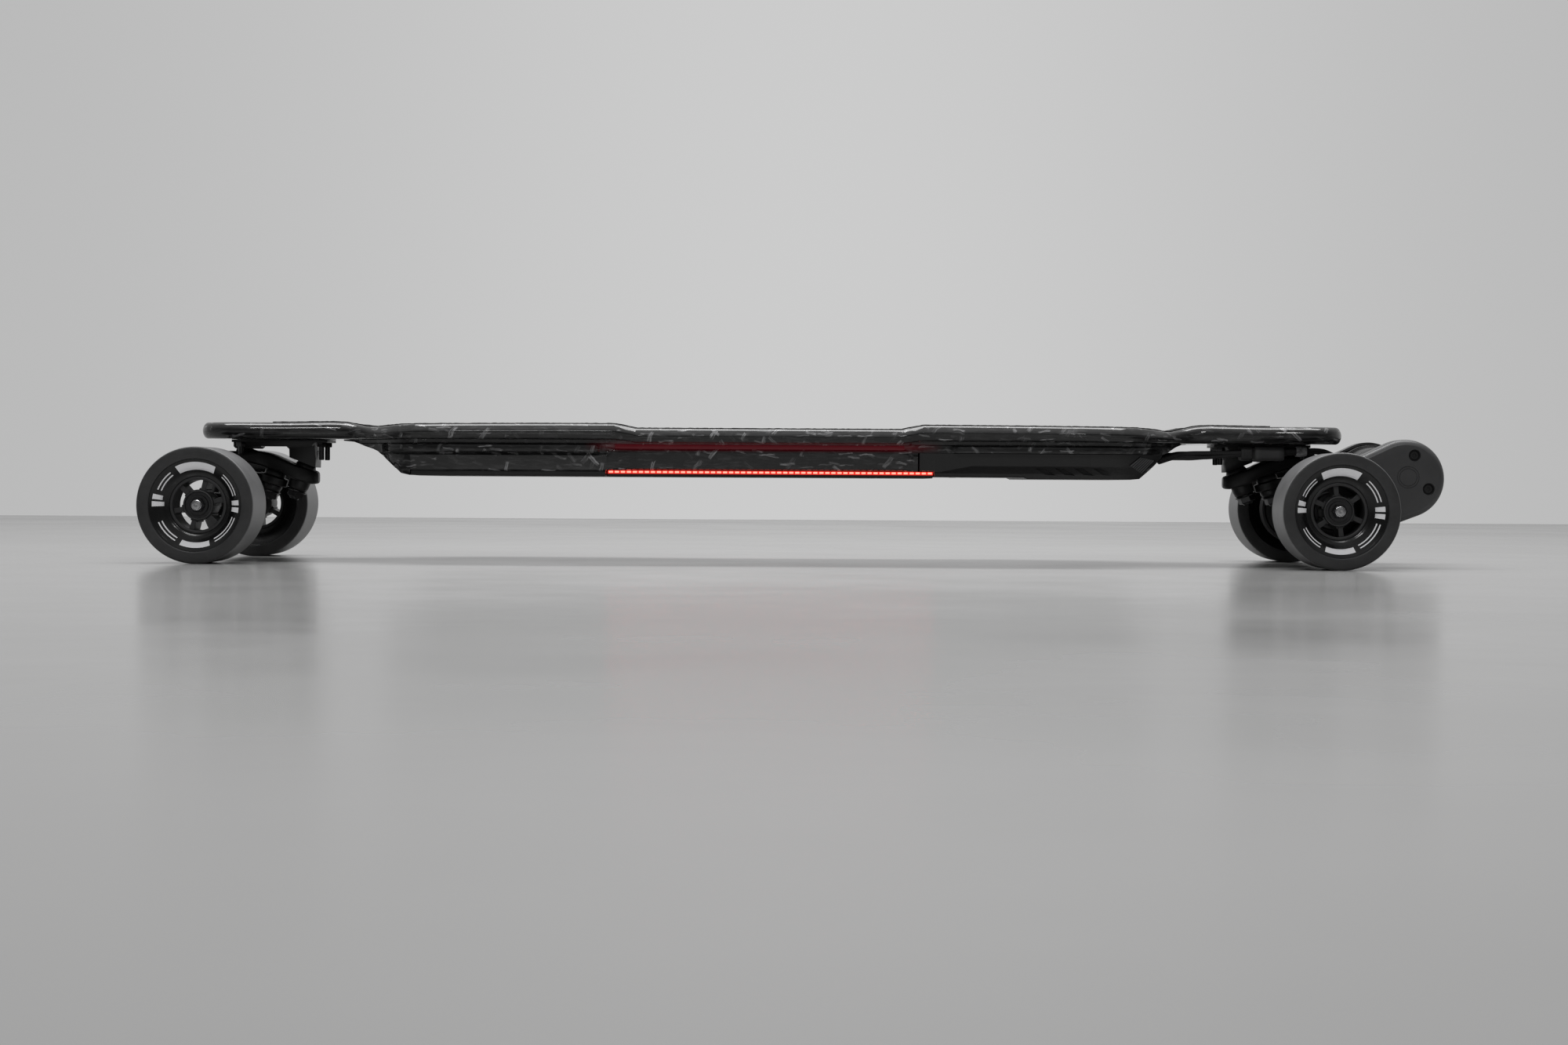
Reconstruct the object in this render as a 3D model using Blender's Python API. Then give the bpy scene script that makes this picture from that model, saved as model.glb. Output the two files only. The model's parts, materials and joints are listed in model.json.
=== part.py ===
"""Electric skateboard with double-kingpin trucks and two belt drives. Lengths in millimetres, +X towards the tail."""

import math

import bmesh
import bpy
from mathutils import Matrix, Vector

MM = 0.001

# overall layout
FRONT_AXLE_X = -497.0
REAR_AXLE_X = 448.0
AXLE_Z = 48.5
DECK_MID_X = -23.5
DECK_HALF_LENGTH = 491.5

# deck
PLATFORM_HALF_WIDTH = 122.0
WAIST_HALF_WIDTH = 114.0
NOSE_HALF_WIDTH = 66.0
NECK_HALF_WIDTH = 60.0
PLATFORM_TOP_Z = 117.9
PLATFORM_END_TOP_Z = 117.2
WAIST_TOP_Z = 114.6
NECK_TOP_Z = 115.2
NOSE_TOP_Z = 119.0
TAIL_CREST_Z = 120.5
DECK_UNDERSIDE_Z = 104.4
WAIST_RIM_Z = 102.0
END_UNDERSIDE_Z = 105.0
CONCAVE_DEPTH = 5.0

# hull under the deck
HULL_BOTTOM_Z = 78.4
LIP_BOTTOM_Z = 74.4
LED_ROOF_Z = 79.8
COVER_BOTTOM_Z = 74.2
REAR_COVER_BOTTOM_Z = 73.8
REAR_COVER_TOP_Z = 94.6
HULL_FRONT_X = -390.0
HULL_REAR_X = 332.0
REAR_COVER_START_X = 102.0
LED_START_X = -159.0
LED_END_X = 114.0

# wheels
WHEEL_RADIUS = 48.5
WHEEL_INNER_Y = 87.0
WHEEL_OUTER_Y = 139.0
CORE_RADIUS = 24.0
DISH_DEPTH = 12.4
AXLE_RADIUS = 4.0

# trucks: distances inboard from the axle, and heights
KINGPIN1_LEAN = math.radians(21.0)
KINGPIN1_SEAT = (65.5, 84.5)
KINGPIN2_LEAN = math.radians(17.0)
KINGPIN2_SEAT = (38.5, 78.5)
PIVOT1 = (12.0, 95.0)
PIVOT2 = (-2.0, 88.0)
BUSHING_RADIUS = 9.3

# belt drive: the motor centre, outboard of the rear axle and above it
MOTOR_DX = 64.5
MOTOR_DZ = 27.5
MOTOR_RADIUS = 28.0
WHEEL_TEETH = 32
MOTOR_TEETH = 15
TOOTH_PITCH = 5.0

MATERIALS = {
    "carbon": ((0.020, 0.020, 0.022, 1), 0.18, 0.0),
    "grip": ((0.012, 0.012, 0.012, 1), 0.95, 0.0),
    "cover_black": ((0.018, 0.018, 0.019, 1), 0.45, 0.0),
    "battery_wrap": ((0.05, 0.09, 0.25, 1), 0.5, 0.0),
    "heatsink": ((0.25, 0.25, 0.26, 1), 0.4, 0.9),
    "led": ((0.9, 0.12, 0.05, 1), 0.3, 0.0),
    "button": ((0.03, 0.03, 0.03, 1), 0.3, 0.0),
    "sleeve": ((0.012, 0.012, 0.012, 1), 0.8, 0.0),
    "truck_black": ((0.012, 0.012, 0.013, 1), 0.35, 0.5),
    "steel": ((0.55, 0.55, 0.56, 1), 0.25, 1.0),
    "bushing": ((0.02, 0.02, 0.02, 1), 0.5, 0.0),
    "urethane": ((0.05, 0.05, 0.052, 1), 0.42, 0.0),
    "core": ((0.02, 0.02, 0.02, 1), 0.4, 0.0),
    "motor": ((0.03, 0.03, 0.032, 1), 0.4, 0.6),
    "pulley": ((0.30, 0.30, 0.31, 1), 0.35, 0.9),
    "belt": ((0.01, 0.01, 0.01, 1), 0.8, 0.0),
    "drive_cover": ((0.06, 0.06, 0.062, 1), 0.42, 0.2),
}


def clear_scene():
    for obj in list(bpy.data.objects):
        bpy.data.objects.remove(obj, do_unlink=True)


def material(name):
    found = bpy.data.materials.get(name)
    if found:
        return found
    colour, roughness, metallic = MATERIALS[name]
    made = bpy.data.materials.new(name)
    made.use_nodes = True
    shader = made.node_tree.nodes["Principled BSDF"]
    shader.inputs["Base Color"].default_value = colour
    shader.inputs["Roughness"].default_value = roughness
    shader.inputs["Metallic"].default_value = metallic
    made.diffuse_color = colour
    return made


def lerp(table, x):
    """Piecewise linear value from [(x, value), ...] in rising x."""
    if x <= table[0][0]:
        return table[0][1]
    for (x0, v0), (x1, v1) in zip(table, table[1:]):
        if x <= x1:
            return v0 + (v1 - v0) * (x - x0) / (x1 - x0)
    return table[-1][1]


def mesh_object(name, verts, faces, slot, origin=(0, 0, 0), smooth=False, node=True):
    """A mesh from points in millimetres, with its origin at the given point."""
    mesh = bpy.data.meshes.new(name)
    o = Vector(origin)
    mesh.from_pydata([(Vector(v) - o) * MM for v in verts], [], faces)
    bm = bmesh.new()
    bm.from_mesh(mesh)
    bmesh.ops.recalc_face_normals(bm, faces=bm.faces)
    if bm.calc_volume(signed=True) < 0:
        bmesh.ops.reverse_faces(bm, faces=bm.faces)
    bm.to_mesh(mesh)
    bm.free()
    if smooth:
        mesh.shade_smooth()
    if slot:
        mesh.materials.append(material(slot))
    obj = bpy.data.objects.new(name, mesh)
    obj.location = o * MM
    bpy.context.scene.collection.objects.link(obj)
    if not node:
        obj.hide_render = True
        obj.display_type = "WIRE"
    return obj


def loft(name, rings, slot, **options):
    """A closed skin through rings of equal length, with flat caps at both ends."""
    count = len(rings[0])
    verts = [p for ring in rings for p in ring]
    faces = []
    for i in range(len(rings) - 1):
        for j in range(count):
            k = (j + 1) % count
            a, b = i * count, (i + 1) * count
            faces.append((a + j, a + k, b + k, b + j))
    faces.append(tuple(range(count - 1, -1, -1)))
    last = (len(rings) - 1) * count
    faces.append(tuple(range(last, last + count)))
    return mesh_object(name, verts, faces, slot, **options)


def turned(name, profile, centre, axis, slot, segments=32, **options):
    """A body of revolution: closed profile of (distance along the axis, radius) points."""
    along = Vector(axis).normalized()
    side = along.orthogonal().normalized()
    if abs(along.y) > 0.9:
        side = Vector((1, 0, 0))
    other = along.cross(side)
    verts, faces = [], []
    count = len(profile)
    for i in range(segments):
        turn = 2 * math.pi * i / segments
        out = side * math.cos(turn) + other * math.sin(turn)
        for t, r in profile:
            verts.append(Vector(centre) + along * t + out * r)
    for i in range(segments):
        a, b = i * count, ((i + 1) % segments) * count
        for j in range(count):
            k = (j + 1) % count
            faces.append((a + j, a + k, b + k, b + j))
    return mesh_object(name, verts, faces, slot, **options)


def rod(name, start, end, radius, slot, segments=24, **options):
    """A plain cylinder between two points."""
    s, e = Vector(start), Vector(end)
    along = (e - s).normalized()
    side = along.orthogonal().normalized()
    other = along.cross(side)
    rings = []
    for p in (s, e):
        ring = []
        for i in range(segments):
            turn = 2 * math.pi * i / segments
            ring.append(p + (side * math.cos(turn) + other * math.sin(turn)) * radius)
        rings.append(ring)
    return loft(name, rings, slot, **options)


def prism_y(name, outline, y0, y1, slot, **options):
    """An outline of (x, z) points, drawn out from y0 to y1."""
    return loft(name, [[(x, y, z) for x, z in outline] for y in (y0, y1)], slot, **options)


def prism_z(name, outline, z0, z1, slot, **options):
    return loft(name, [[(x, y, z) for x, y in outline] for z in (z0, z1)], slot, **options)


def boolean(target, tool, operation):
    step = target.modifiers.new(operation.lower(), "BOOLEAN")
    step.operation = operation
    step.solver = "EXACT"
    step.object = tool
    tool.hide_render = True
    tool.display_type = "WIRE"
    return step


def arc(cx, cz, r, start, end, steps):
    """Points on a circle from one angle to another, in degrees."""
    points = []
    for i in range(steps + 1):
        turn = math.radians(start + (end - start) * i / steps)
        points.append((cx + r * math.cos(turn), cz + r * math.sin(turn)))
    return points


# ---------------------------------------------------------------- deck
def deck_half_width(s):
    """Half-width at a distance s from the middle of the deck."""
    a = abs(s)
    table = [(0, WAIST_HALF_WIDTH), (111, WAIST_HALF_WIDTH), (128, PLATFORM_HALF_WIDTH),
             (262, PLATFORM_HALF_WIDTH - 1), (296, 114), (314, 103), (332, 84), (346, 70),
             (360, NECK_HALF_WIDTH + 2), (378, NECK_HALF_WIDTH + 2), (416, NOSE_HALF_WIDTH - 1),
             (440, NOSE_HALF_WIDTH)]
    width = lerp(table, a)
    corner = 34.0
    into = a - (DECK_HALF_LENGTH - corner)
    if into > 0:
        width -= corner * (1 - math.sqrt(max(0.0, 1 - (into / corner) ** 2)))
    return max(width, 12.0)


def deck_top(s):
    """Height of the deck's rim at a distance s from the middle, negative towards the nose."""
    crest = TAIL_CREST_Z if s > 0 else NOSE_TOP_Z + 0.8
    end = NOSE_TOP_Z + 0.7 if s > 0 else NOSE_TOP_Z
    table = [(0, WAIST_TOP_Z), (112, WAIST_TOP_Z), (128, PLATFORM_TOP_Z), (296, PLATFORM_END_TOP_Z),
             (318, NECK_TOP_Z + 0.9), (338, NECK_TOP_Z), (352, (NECK_TOP_Z + crest) / 2), (370, crest - 0.3),
             (384, crest), (420, end), (492, end)]
    return lerp(table, abs(s))


def deck_underside(s):
    """Height of the underside: flat over the hull, a little higher past its ends."""
    return lerp([(0, DECK_UNDERSIDE_Z), (356, DECK_UNDERSIDE_Z), (368, END_UNDERSIDE_Z)], abs(s))


def deck_rim_low(s):
    """Height of the rim's lower edge, which hangs below the underside along the waist."""
    table = [(0, WAIST_RIM_Z), (111, WAIST_RIM_Z), (128, DECK_UNDERSIDE_Z), (356, DECK_UNDERSIDE_Z),
             (368, END_UNDERSIDE_Z)]
    return lerp(table, abs(s))


def deck_hollow(s):
    """How far the standing surface drops below the rim."""
    return lerp([(0, CONCAVE_DEPTH), (300, CONCAVE_DEPTH), (340, 1.5), (370, 0.6), (492, 0.6)], abs(s))


DECK_STATIONS = [0, 60, 111, 119, 128, 180, 235, 280, 296, 306, 316, 326, 336, 346, 356, 368, 384, 416, 426, 440,
                 457.5, 467.5, 475.5, 482.5, 487.5, 490.5, 491.5]


def deck_surface(s, share):
    """Height of the standing surface at a share (-1 to 1) of the half-width."""
    dip = deck_hollow(s)
    rise = max(0.0, (abs(share) - 0.45) / 0.47)
    return deck_top(s) - dip * (1 - min(1.0, rise) ** 1.6)


def deck_ring(s):
    w, top, under, low = deck_half_width(s), deck_top(s), deck_underside(s), deck_rim_low(s)
    x = DECK_MID_X + s
    tip = max(0.0, (abs(s) - DECK_HALF_LENGTH + 14.0) / 14.0)
    squeeze = 1 - math.sqrt(max(0.0, 1 - min(1.0, tip) ** 2)) if tip > 0 else 0.0
    middle = (top + under) / 2

    def point(y, z):
        return (x, y, z + (middle - z) * 0.62 * squeeze)

    right = [
        (0.45 * w, deck_surface(s, 0.45)),
        (0.70 * w, deck_surface(s, 0.70)),
        (0.92 * w, deck_surface(s, 0.92)),
        (w - 4.0, top - 0.1),
        (w - 1.2, top - 1.6),
        (w, top - 4.6),
        (w - 0.4, top - 6.2),
        (w - 1.6, low + 2.4),
        (w - 4.4, low + 0.3),
        (w - 9.0, low),
        (w - 11.0, under),
    ]
    ring = [point(y, z) for y, z in right]
    ring += [point(-y, z) for y, z in reversed(right)]
    return ring


def signed_stations(stations):
    return [-s for s in reversed(stations[1:])] + list(stations)


def build_deck():
    rings = [deck_ring(s) for s in signed_stations(DECK_STATIONS)]
    loft("deck_shell", rings, "carbon", smooth=True)

    start, end = -449.5 - DECK_MID_X, 402.5 - DECK_MID_X
    inside = [s for s in signed_stations(DECK_STATIONS) if start + 4 < s < end - 4]
    rings = []
    for s in [start] + inside + [end]:
        shares = [-0.92, -0.70, -0.45, 0.45, 0.70, 0.92]
        w = deck_half_width(s)
        x = DECK_MID_X + s
        lower = [(x, share * w, deck_surface(s, share) + 0.15) for share in shares]
        upper = [(x, share * w, deck_surface(s, share) + 0.95) for share in reversed(shares)]
        rings.append(lower + upper)
    loft("grip_tape", rings, "grip", smooth=False)


# ---------------------------------------------------------------- hull
def hull_floor(x):
    """Lowest height of the hull: its sloped ends, and the step up over the rear cover."""
    front = [(-392, 103.4), (-381, 102.6), (-375.5, 100.9), (-370, 98.6), (-362, 96.0), (-357, 94.0),
             (-334.5, 76.2), (-326, LIP_BOTTOM_Z), (-325.6, HULL_BOTTOM_Z), (-160.6, HULL_BOTTOM_Z),
             (-160, LED_ROOF_Z)]
    if x < 0:
        return lerp(front, x)
    rear = [(REAR_COVER_START_X - 1, LED_ROOF_Z), (REAR_COVER_START_X, REAR_COVER_TOP_Z + 0.3),
            (310, REAR_COVER_TOP_Z + 0.3), (314.4, 96.6), (322, 101.4), (328, 103.5), (332, 103.6)]
    return lerp(rear, x)


def hull_half_width(x):
    return deck_half_width(x - DECK_MID_X) - 12.0


HULL_STATIONS = [-390, -381, -375.5, -370, -362, -357, -345, -334.5, -326, -325.6, -300, -230, -170, -164, -160.6,
                 -160, -151.5, -134.5, 87.5, 101, 102, 104.5, 130, 136, 200, 256, 273, 290, 300, 310, 314.4, 322,
                 328, 332]


def hull_ring(x):
    w = hull_half_width(x)
    roof = DECK_UNDERSIDE_Z - 0.2
    low = hull_floor(x)
    bead = 5.0 * lerp([(-352, 0), (-343, 1), (-170, 1), (-164, 0), (128, 0), (134, 1), (292, 1), (304, 0)], x)
    side = [
        (w, roof),
        (w - 0.6, 101.7),
        (w + bead * 0.7, 101.0),
        (w + bead, 98.6),
        (w + bead * 0.9, 95.4),
        (w - 1.0, 93.4),
        (w - 1.2, 92.6),
        (w - 0.4, 91.8),
        (w - 3.6, 79.9),
        (w - 5.2, LIP_BOTTOM_Z),
    ]
    right = []
    for i, (y, z) in enumerate(side):
        lowest = low + 0.12 * (len(side) - 1 - i)
        right.append((x, y, min(roof - 0.08 * i, max(z, lowest))))
    return right + [(x, -y, z) for x, y, z in reversed(right)]


def cavity_ring(x, low, high, inset):
    w = hull_half_width(x) - inset
    return [(x, w, high), (x, w, low), (x, -w, low), (x, -w, high)]


def build_hull():
    hull = loft("battery_hull", [hull_ring(x) for x in HULL_STATIONS], "carbon")
    inner = [(-350, 97.5), (-338, 88), (-330, 80.6), (-324.2, 79), (-324, 70), (-296, 70), (98.5, 70)]
    rings = [cavity_ring(x, low, 100.5, 9.0) for x, low in inner]
    boolean(hull, loft("hull_cavity", rings, None, node=False), "DIFFERENCE")

    xs = [-325, -320, -300, -230, -140, 0, 101, 113.8]
    rings = []
    for x in xs:
        w = hull_half_width(x) - 8.5
        low = lerp([(-325, COVER_BOTTOM_Z + 0.6), (-320, COVER_BOTTOM_Z)], x)
        rings.append([(x, w, 78.0), (x, w, 75.4), (x, w - 2, low), (x, -w + 2, low), (x, -w, 75.4), (x, -w, 78.0)])
    cover = loft("bottom_cover", rings, "cover_black")
    boolean(cover, rod("button_hole", (60, 30, 70), (60, 30, 82), 6.4, None, node=False), "DIFFERENCE")
    for side in (-1, 1):
        w = hull_half_width(0) - 4.2
        slot = [(LED_START_X - 0.6, w + 9), (LED_END_X + 0.6, w + 9), (LED_END_X + 0.6, w - 4.2),
                (LED_START_X - 0.6, w - 4.2)]
        slot = [(x, side * y) for x, y in slot]
        name = "left" if side < 0 else "right"
        boolean(cover, prism_z("led_slot_" + name, slot, 76.3, 80, None, node=False), "DIFFERENCE")
        bar = [(LED_START_X, w - 3.8), (LED_END_X, w - 3.8), (LED_END_X, w), (LED_START_X, w)]
        bar = [(x, side * y) for x, y in bar]
        prism_z("led_strip_" + name, bar, 76.5, 79.5, "led")


def rear_cover_ring(x, grow=0.0):
    w = hull_half_width(x) + 1.0 - grow
    low = lerp([(102, 84), (114.2, 80.0), (114.8, 75.2), (190, 75.2), (192, REAR_COVER_BOTTOM_Z), (280, REAR_COVER_BOTTOM_Z),
                (288.5, 74.6), (298.6, 82.5), (307.6, 91.8), (309.2, 93.8)], x)
    low += grow
    top = REAR_COVER_TOP_Z if not grow else REAR_COVER_TOP_Z + 5
    tier = max(85.0, low + 0.5)
    right = [(w, top), (w - 2.0, min(tier, top - 0.35)), (w - 3.0, min(max(84.4, low + 0.4), top - 0.3)),
             (w - 9.0, min(max(78.4, low + 0.3), top - 0.25)), (w - 10.4, min(low, top - 0.15))]
    return [(x, y, z) for y, z in right] + [(x, -y, z) for y, z in reversed(right)]


def build_rear_cover():
    xs = [102.3, 114.2, 114.8, 130, 190, 192, 256, 273, 280, 288.5, 298.6, 304, 307.6, 309.2]
    cover = loft("controller_cover", [rear_cover_ring(x) for x in xs], "cover_black")
    inner = [rear_cover_ring(x, 3.0) for x in (106, 114.2, 118.5, 190, 192, 256, 273, 280, 288.5)]
    boolean(cover, loft("rear_cavity", inner, None, node=False), "DIFFERENCE")
    for side in (-1, 1):
        for i in range(5):
            x = 281.0 + 2.6 * i
            foot = 84.2 - 1.35 * i
            y = side * (hull_half_width(x + 6) - 1.0 - 0.9 * i)
            groove = [(x, y + side * 6), (x + 1.2, y + side * 6), (x + 1.2, y), (x, y)]
            rings = [[(gx + shift, gy, z) for gx, gy in groove] for shift, z in ((8.6, foot + 8.0), (0, foot))]
            tool = loft("fin_groove_%d_%d" % (side + 1, i), rings, None, node=False)
            boolean(cover, tool, "DIFFERENCE")


def build_inside():
    x0, x1, half, edge = -318.0, 44.0, 86.0, 8.0
    outline = [(x0 + edge, half), (x0, half - edge), (x0, edge - half), (x0 + edge, -half), (x1 - edge, -half),
               (x1, edge - half), (x1, half - edge), (x1 - edge, half)]
    prism_z("battery_pack", outline, 79.2, 99.5, "battery_wrap")
    board = [(118, -70), (270, -70), (270, 70), (118, 70)]
    prism_z("motor_controller", board, 79.5, 94.2, "heatsink")
    profile = [(0, 0.02), (0, 5.2), (0.6, 5.9), (4.4, 5.9), (4.4, 7.4), (5.6, 7.4), (5.6, 0.02)]
    turned("power_button", profile, (60, 30, 74.0), (0, 0, 1), "button", 20, origin=(60, 30, 74.0))


def sweep(name, path, half_wide, half_tall, slot, corners=8, **options):
    """A rounded flat strand along a path whose width stays level."""
    points = [Vector(p) for p in path]
    rings = []
    for i, p in enumerate(points):
        ahead = points[min(i + 1, len(points) - 1)] - points[max(i - 1, 0)]
        side = Vector((-ahead.y, ahead.x, 0)).normalized()
        up = side.cross(ahead.normalized()) * -1
        ring = []
        for k in range(corners):
            turn = 2 * math.pi * (k + 0.5) / corners
            c, s = math.cos(turn), math.sin(turn)
            across = math.copysign(abs(c) ** 0.6, c) * half_wide
            rise = math.copysign(abs(s) ** 0.6, s) * half_tall
            ring.append(p + side * across + up * rise)
        rings.append(ring)
    return loft(name, rings, slot, **options)


def build_wiring():
    for side, name in ((-1, "left"), (1, "right")):
        y = side * 44.0
        path = [(311.4, y, 90.8), (314.6, y, 91.6), (320, y, 93.4), (329, y, 95.2), (342, y, 95.5), (360, y, 96.2),
                (378.8, y, 97.0)]
        sweep("harness_" + name, path, 9.0, 3.3, "sleeve", smooth=True)
        body = [(379.3, 91.0), (389.4, 91.0), (390.2, 90.4), (416, 90.6), (417, 95.6), (427, 95.9), (427.4, 94.4),
                (435.6, 94.2), (436.4, 96.4), (436.4, 102.8), (435.6, 103.4), (427.4, 103.4), (427, 102.8),
                (417, 102.9), (416, 103.8), (390.2, 104.0), (389.4, 103.8), (379.3, 103.8)]
        prism_y("connector_" + name, body, y - 9.5, y + 9.5, "sleeve")
        path = [(436.9, y, 99.5), (444, y, 99.6), (451, y, 98.8), (457, y * 0.99, 96.4), (463, y * 0.98, 93.4),
                (470, y * 0.96, 90.4), (477, y * 0.94, 88.2), (484.8, y * 0.92, 86.6)]
        sweep("motor_lead_" + name, path, 4.0, 3.2, "sleeve", smooth=True)


# ---------------------------------------------------------------- trucks
def along_pin(seat, lean, t):
    return seat[0] - math.sin(lean) * t, seat[1] - math.cos(lean) * t


class Truck:
    """Places truck geometry given as (inboard distance, y, height)."""

    def __init__(self, name, axle_x, inboard):
        self.name = name
        self.axle_x = axle_x
        self.inboard = inboard

    def at(self, d, y, z):
        return (self.axle_x + self.inboard * d, y, z)

    def outline(self, points):
        return [(self.axle_x + self.inboard * d, z) for d, z in points]

    def pin_axis(self, lean):
        return (-self.inboard * math.sin(lean), 0, -math.cos(lean))

    def pivot_line(self, pivot, seat, lean, middle):
        """Start and direction of a steering axis, from the pivot to the ring's centre."""
        centre = Vector(self.at(*with_y(along_pin(seat, lean, middle))))
        start = Vector(self.at(pivot[0], 0, pivot[1]))
        return start, (centre - start).normalized(), centre

    def build(self):
        self.build_baseplate()
        self.build_link()
        self.build_hanger()
        self.build_kingpin("upper", KINGPIN1_SEAT, KINGPIN1_LEAN, 10.0, 3.0, 8.0)
        self.build_kingpin("lower", KINGPIN2_SEAT, KINGPIN2_LEAN, 7.0, 3.6, 4.6)
        reach = 133.0
        profile = [(-reach, 0.02), (-reach, AXLE_RADIUS - 0.6), (-reach + 1, AXLE_RADIUS), (reach - 1, AXLE_RADIUS),
                   (reach, AXLE_RADIUS - 0.6), (reach, 0.02)]
        turned(self.name + "_axle", profile, (self.axle_x, 0, AXLE_Z), (0, 1, 0), "steel", 20, smooth=True)

    def build_baseplate(self):
        top = END_UNDERSIDE_Z - 0.2
        half = 20.0
        outline = [(3.5, top), (3.5, 102.6), (15.5, 102.6), (17.5, 99.4), (73.8, 99.4), (75.2, 102.6), (87.0, 102.6),
                   (87.0, top)]
        plate = prism_y(self.name + "_baseplate", self.outline(outline), -half, half, "truck_black")
        boss = [(2.5, 103.5), (2.5, 99.0), (4.2, 97.3), (24.5, 97.1), (26.5, 98.6), (27.5, 103.5)]
        boolean(plate, prism_y(self.name + "_boss", self.outline(boss), -8.4, 8.4, None, node=False), "UNION")
        leg = [(46.6, 102), (52.2, 96.8), (52.4, 89.56), (75.2, 80.8), (75.4, 88), (74.4, 102)]
        boolean(plate, prism_y(self.name + "_leg", self.outline(leg), -12.5, 12.5, None, node=False), "UNION")
        start, along, _ = self.pivot_line(PIVOT1, KINGPIN1_SEAT, KINGPIN1_LEAN, 10.3)
        bore = rod(self.name + "_bore1", start - along * 8.6, start + along * 40, 4.7, None, 20, node=False)
        boolean(plate, bore, "DIFFERENCE")
        top = Vector(self.at(*with_y(along_pin(KINGPIN1_SEAT, KINGPIN1_LEAN, -13.8))))
        low = Vector(self.at(*with_y(along_pin(KINGPIN1_SEAT, KINGPIN1_LEAN, 20))))
        boolean(plate, rod(self.name + "_hole1", top, low, 5.3, None, 20, node=False), "DIFFERENCE")

    def build_link(self):
        stations = [(-7, 94.2, 87.6, 6.4), (-4, 95.0, 86.6, 8.2), (10, 95.0, 85.6, 8.8), (18, 95.0, 84.3, 9.4),
                    (26, 94.8, 82.5, 11.6), (32, 93.6, 80.6, 13.6), (38, 91.7, 78.8, 15.0), (45, 88.6, 76.6, 15.8),
                    (50.5, 86.2, 73.2, 16), (56, 83.9, 70.6, 16), (63, 81.5, 68.4, 15.2), (67.5, 80.3, 67.0, 13.4),
                    (71.2, 79.1, 66.3, 10.8), (74.2, 77.9, 66.6, 7.4), (76.2, 76.4, 67.8, 4.2)]
        rings = []
        for d, top, low, half in stations:
            section = [(half - 3.0, top), (half - 0.6, top - 0.9), (half, top - 2.2), (half, low + 1.5), (half - 2.2, low),
                       (-half + 2.2, low), (-half, low + 1.5), (-half, top - 2.2), (-half + 0.6, top - 0.9),
                       (-half + 3.0, top)]
            rings.append([self.at(d, y, z) for y, z in section])
        start, along, centre = self.pivot_line(PIVOT1, KINGPIN1_SEAT, KINGPIN1_LEAN, 10.3)
        link = loft(self.name + "_link", rings, "truck_black", origin=tuple(centre))
        stub = rod(self.name + "_stub1", start - along * 8.0, start + along * 22, 4.0, None, 20, node=False)
        boolean(link, stub, "UNION")
        k1 = [Vector(self.at(*with_y(along_pin(KINGPIN1_SEAT, KINGPIN1_LEAN, t)))) for t in (-4, 26)]
        boolean(link, rod(self.name + "_hole2", k1[0], k1[1], 6.6, None, 24, node=False), "DIFFERENCE")
        for label, face, turn in (("face_top", 5.4, 1), ("face_low", 15.4, -1)):
            shaved = [Vector(self.at(*with_y(along_pin(KINGPIN1_SEAT, KINGPIN1_LEAN, face + d)))) for d in (0, -turn * 12)]
            tool = rod(self.name + "_" + label, shaved[0], shaved[1], 12.0, None, 24, node=False)
            boolean(link, tool, "DIFFERENCE")
        start2, along2, _ = self.pivot_line(PIVOT2, KINGPIN2_SEAT, KINGPIN2_LEAN, 9.0)
        bore = rod(self.name + "_bore2", start2 - along2 * 3.6, start2 + along2 * 20, 4.7, None, 20, node=False)
        boolean(link, bore, "DIFFERENCE")
        k2 = [Vector(self.at(*with_y(along_pin(KINGPIN2_SEAT, KINGPIN2_LEAN, t)))) for t in (-5.0, 6)]
        boolean(link, rod(self.name + "_hole3", k2[0], k2[1], 5.3, None, 20, node=False), "DIFFERENCE")
        seat = [Vector(self.at(*with_y(along_pin(KINGPIN2_SEAT, KINGPIN2_LEAN, t)))) for t in (0.2, 9)]
        boolean(link, rod(self.name + "_seat2", seat[0], seat[1], 11.0, None, 24, node=False), "DIFFERENCE")

    def build_hanger(self):
        sections = [(-64, 9.0), (-56, 9.6), (-30, 11.0), (-14, 13.5), (14, 13.5), (30, 11.0), (56, 9.6), (64, 9.0)]
        rings = []
        for y, r in sections:
            ring = []
            for k in range(12):
                turn = 2 * math.pi * (k + 0.5) / 12
                ring.append((self.axle_x + r * math.cos(turn), y, AXLE_Z + r * math.sin(turn)))
            rings.append(ring)
        start, along, centre = self.pivot_line(PIVOT2, KINGPIN2_SEAT, KINGPIN2_LEAN, 9.0)
        hanger = loft(self.name + "_hanger", rings, "truck_black", origin=tuple(centre))
        arm = [(-11, 52), (-9.5, 77.5), (-4, 80.5), (6, 79.6), (15, 77.8), (25, 76.2), (27, 70.5), (27, 62), (16, 50),
               (10, 45)]
        boolean(hanger, prism_y(self.name + "_arm", self.outline(arm), -12, 12, None, node=False), "UNION")
        ring_ends = [Vector(self.at(*with_y(along_pin(KINGPIN2_SEAT, KINGPIN2_LEAN, t)))) for t in (5.3, 12.4)]
        ring = rod(self.name + "_ring", ring_ends[0], ring_ends[1], 12.8, None, 28, node=False)
        boolean(hanger, ring, "UNION")
        stub = rod(self.name + "_stub2", start - along * 3.0, start + along * 14, 4.0, None, 20, node=False)
        boolean(hanger, stub, "UNION")
        for label, t0, t1, r in (("hole4", 0, 22, 6.4), ("seat3", 5.25, -2, 12.5), ("seat4", 12.5, 26, 12.0)):
            ends = [Vector(self.at(*with_y(along_pin(KINGPIN2_SEAT, KINGPIN2_LEAN, t)))) for t in (t0, t1)]
            boolean(hanger, rod(self.name + "_" + label, ends[0], ends[1], r, None, 24, node=False), "DIFFERENCE")
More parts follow.
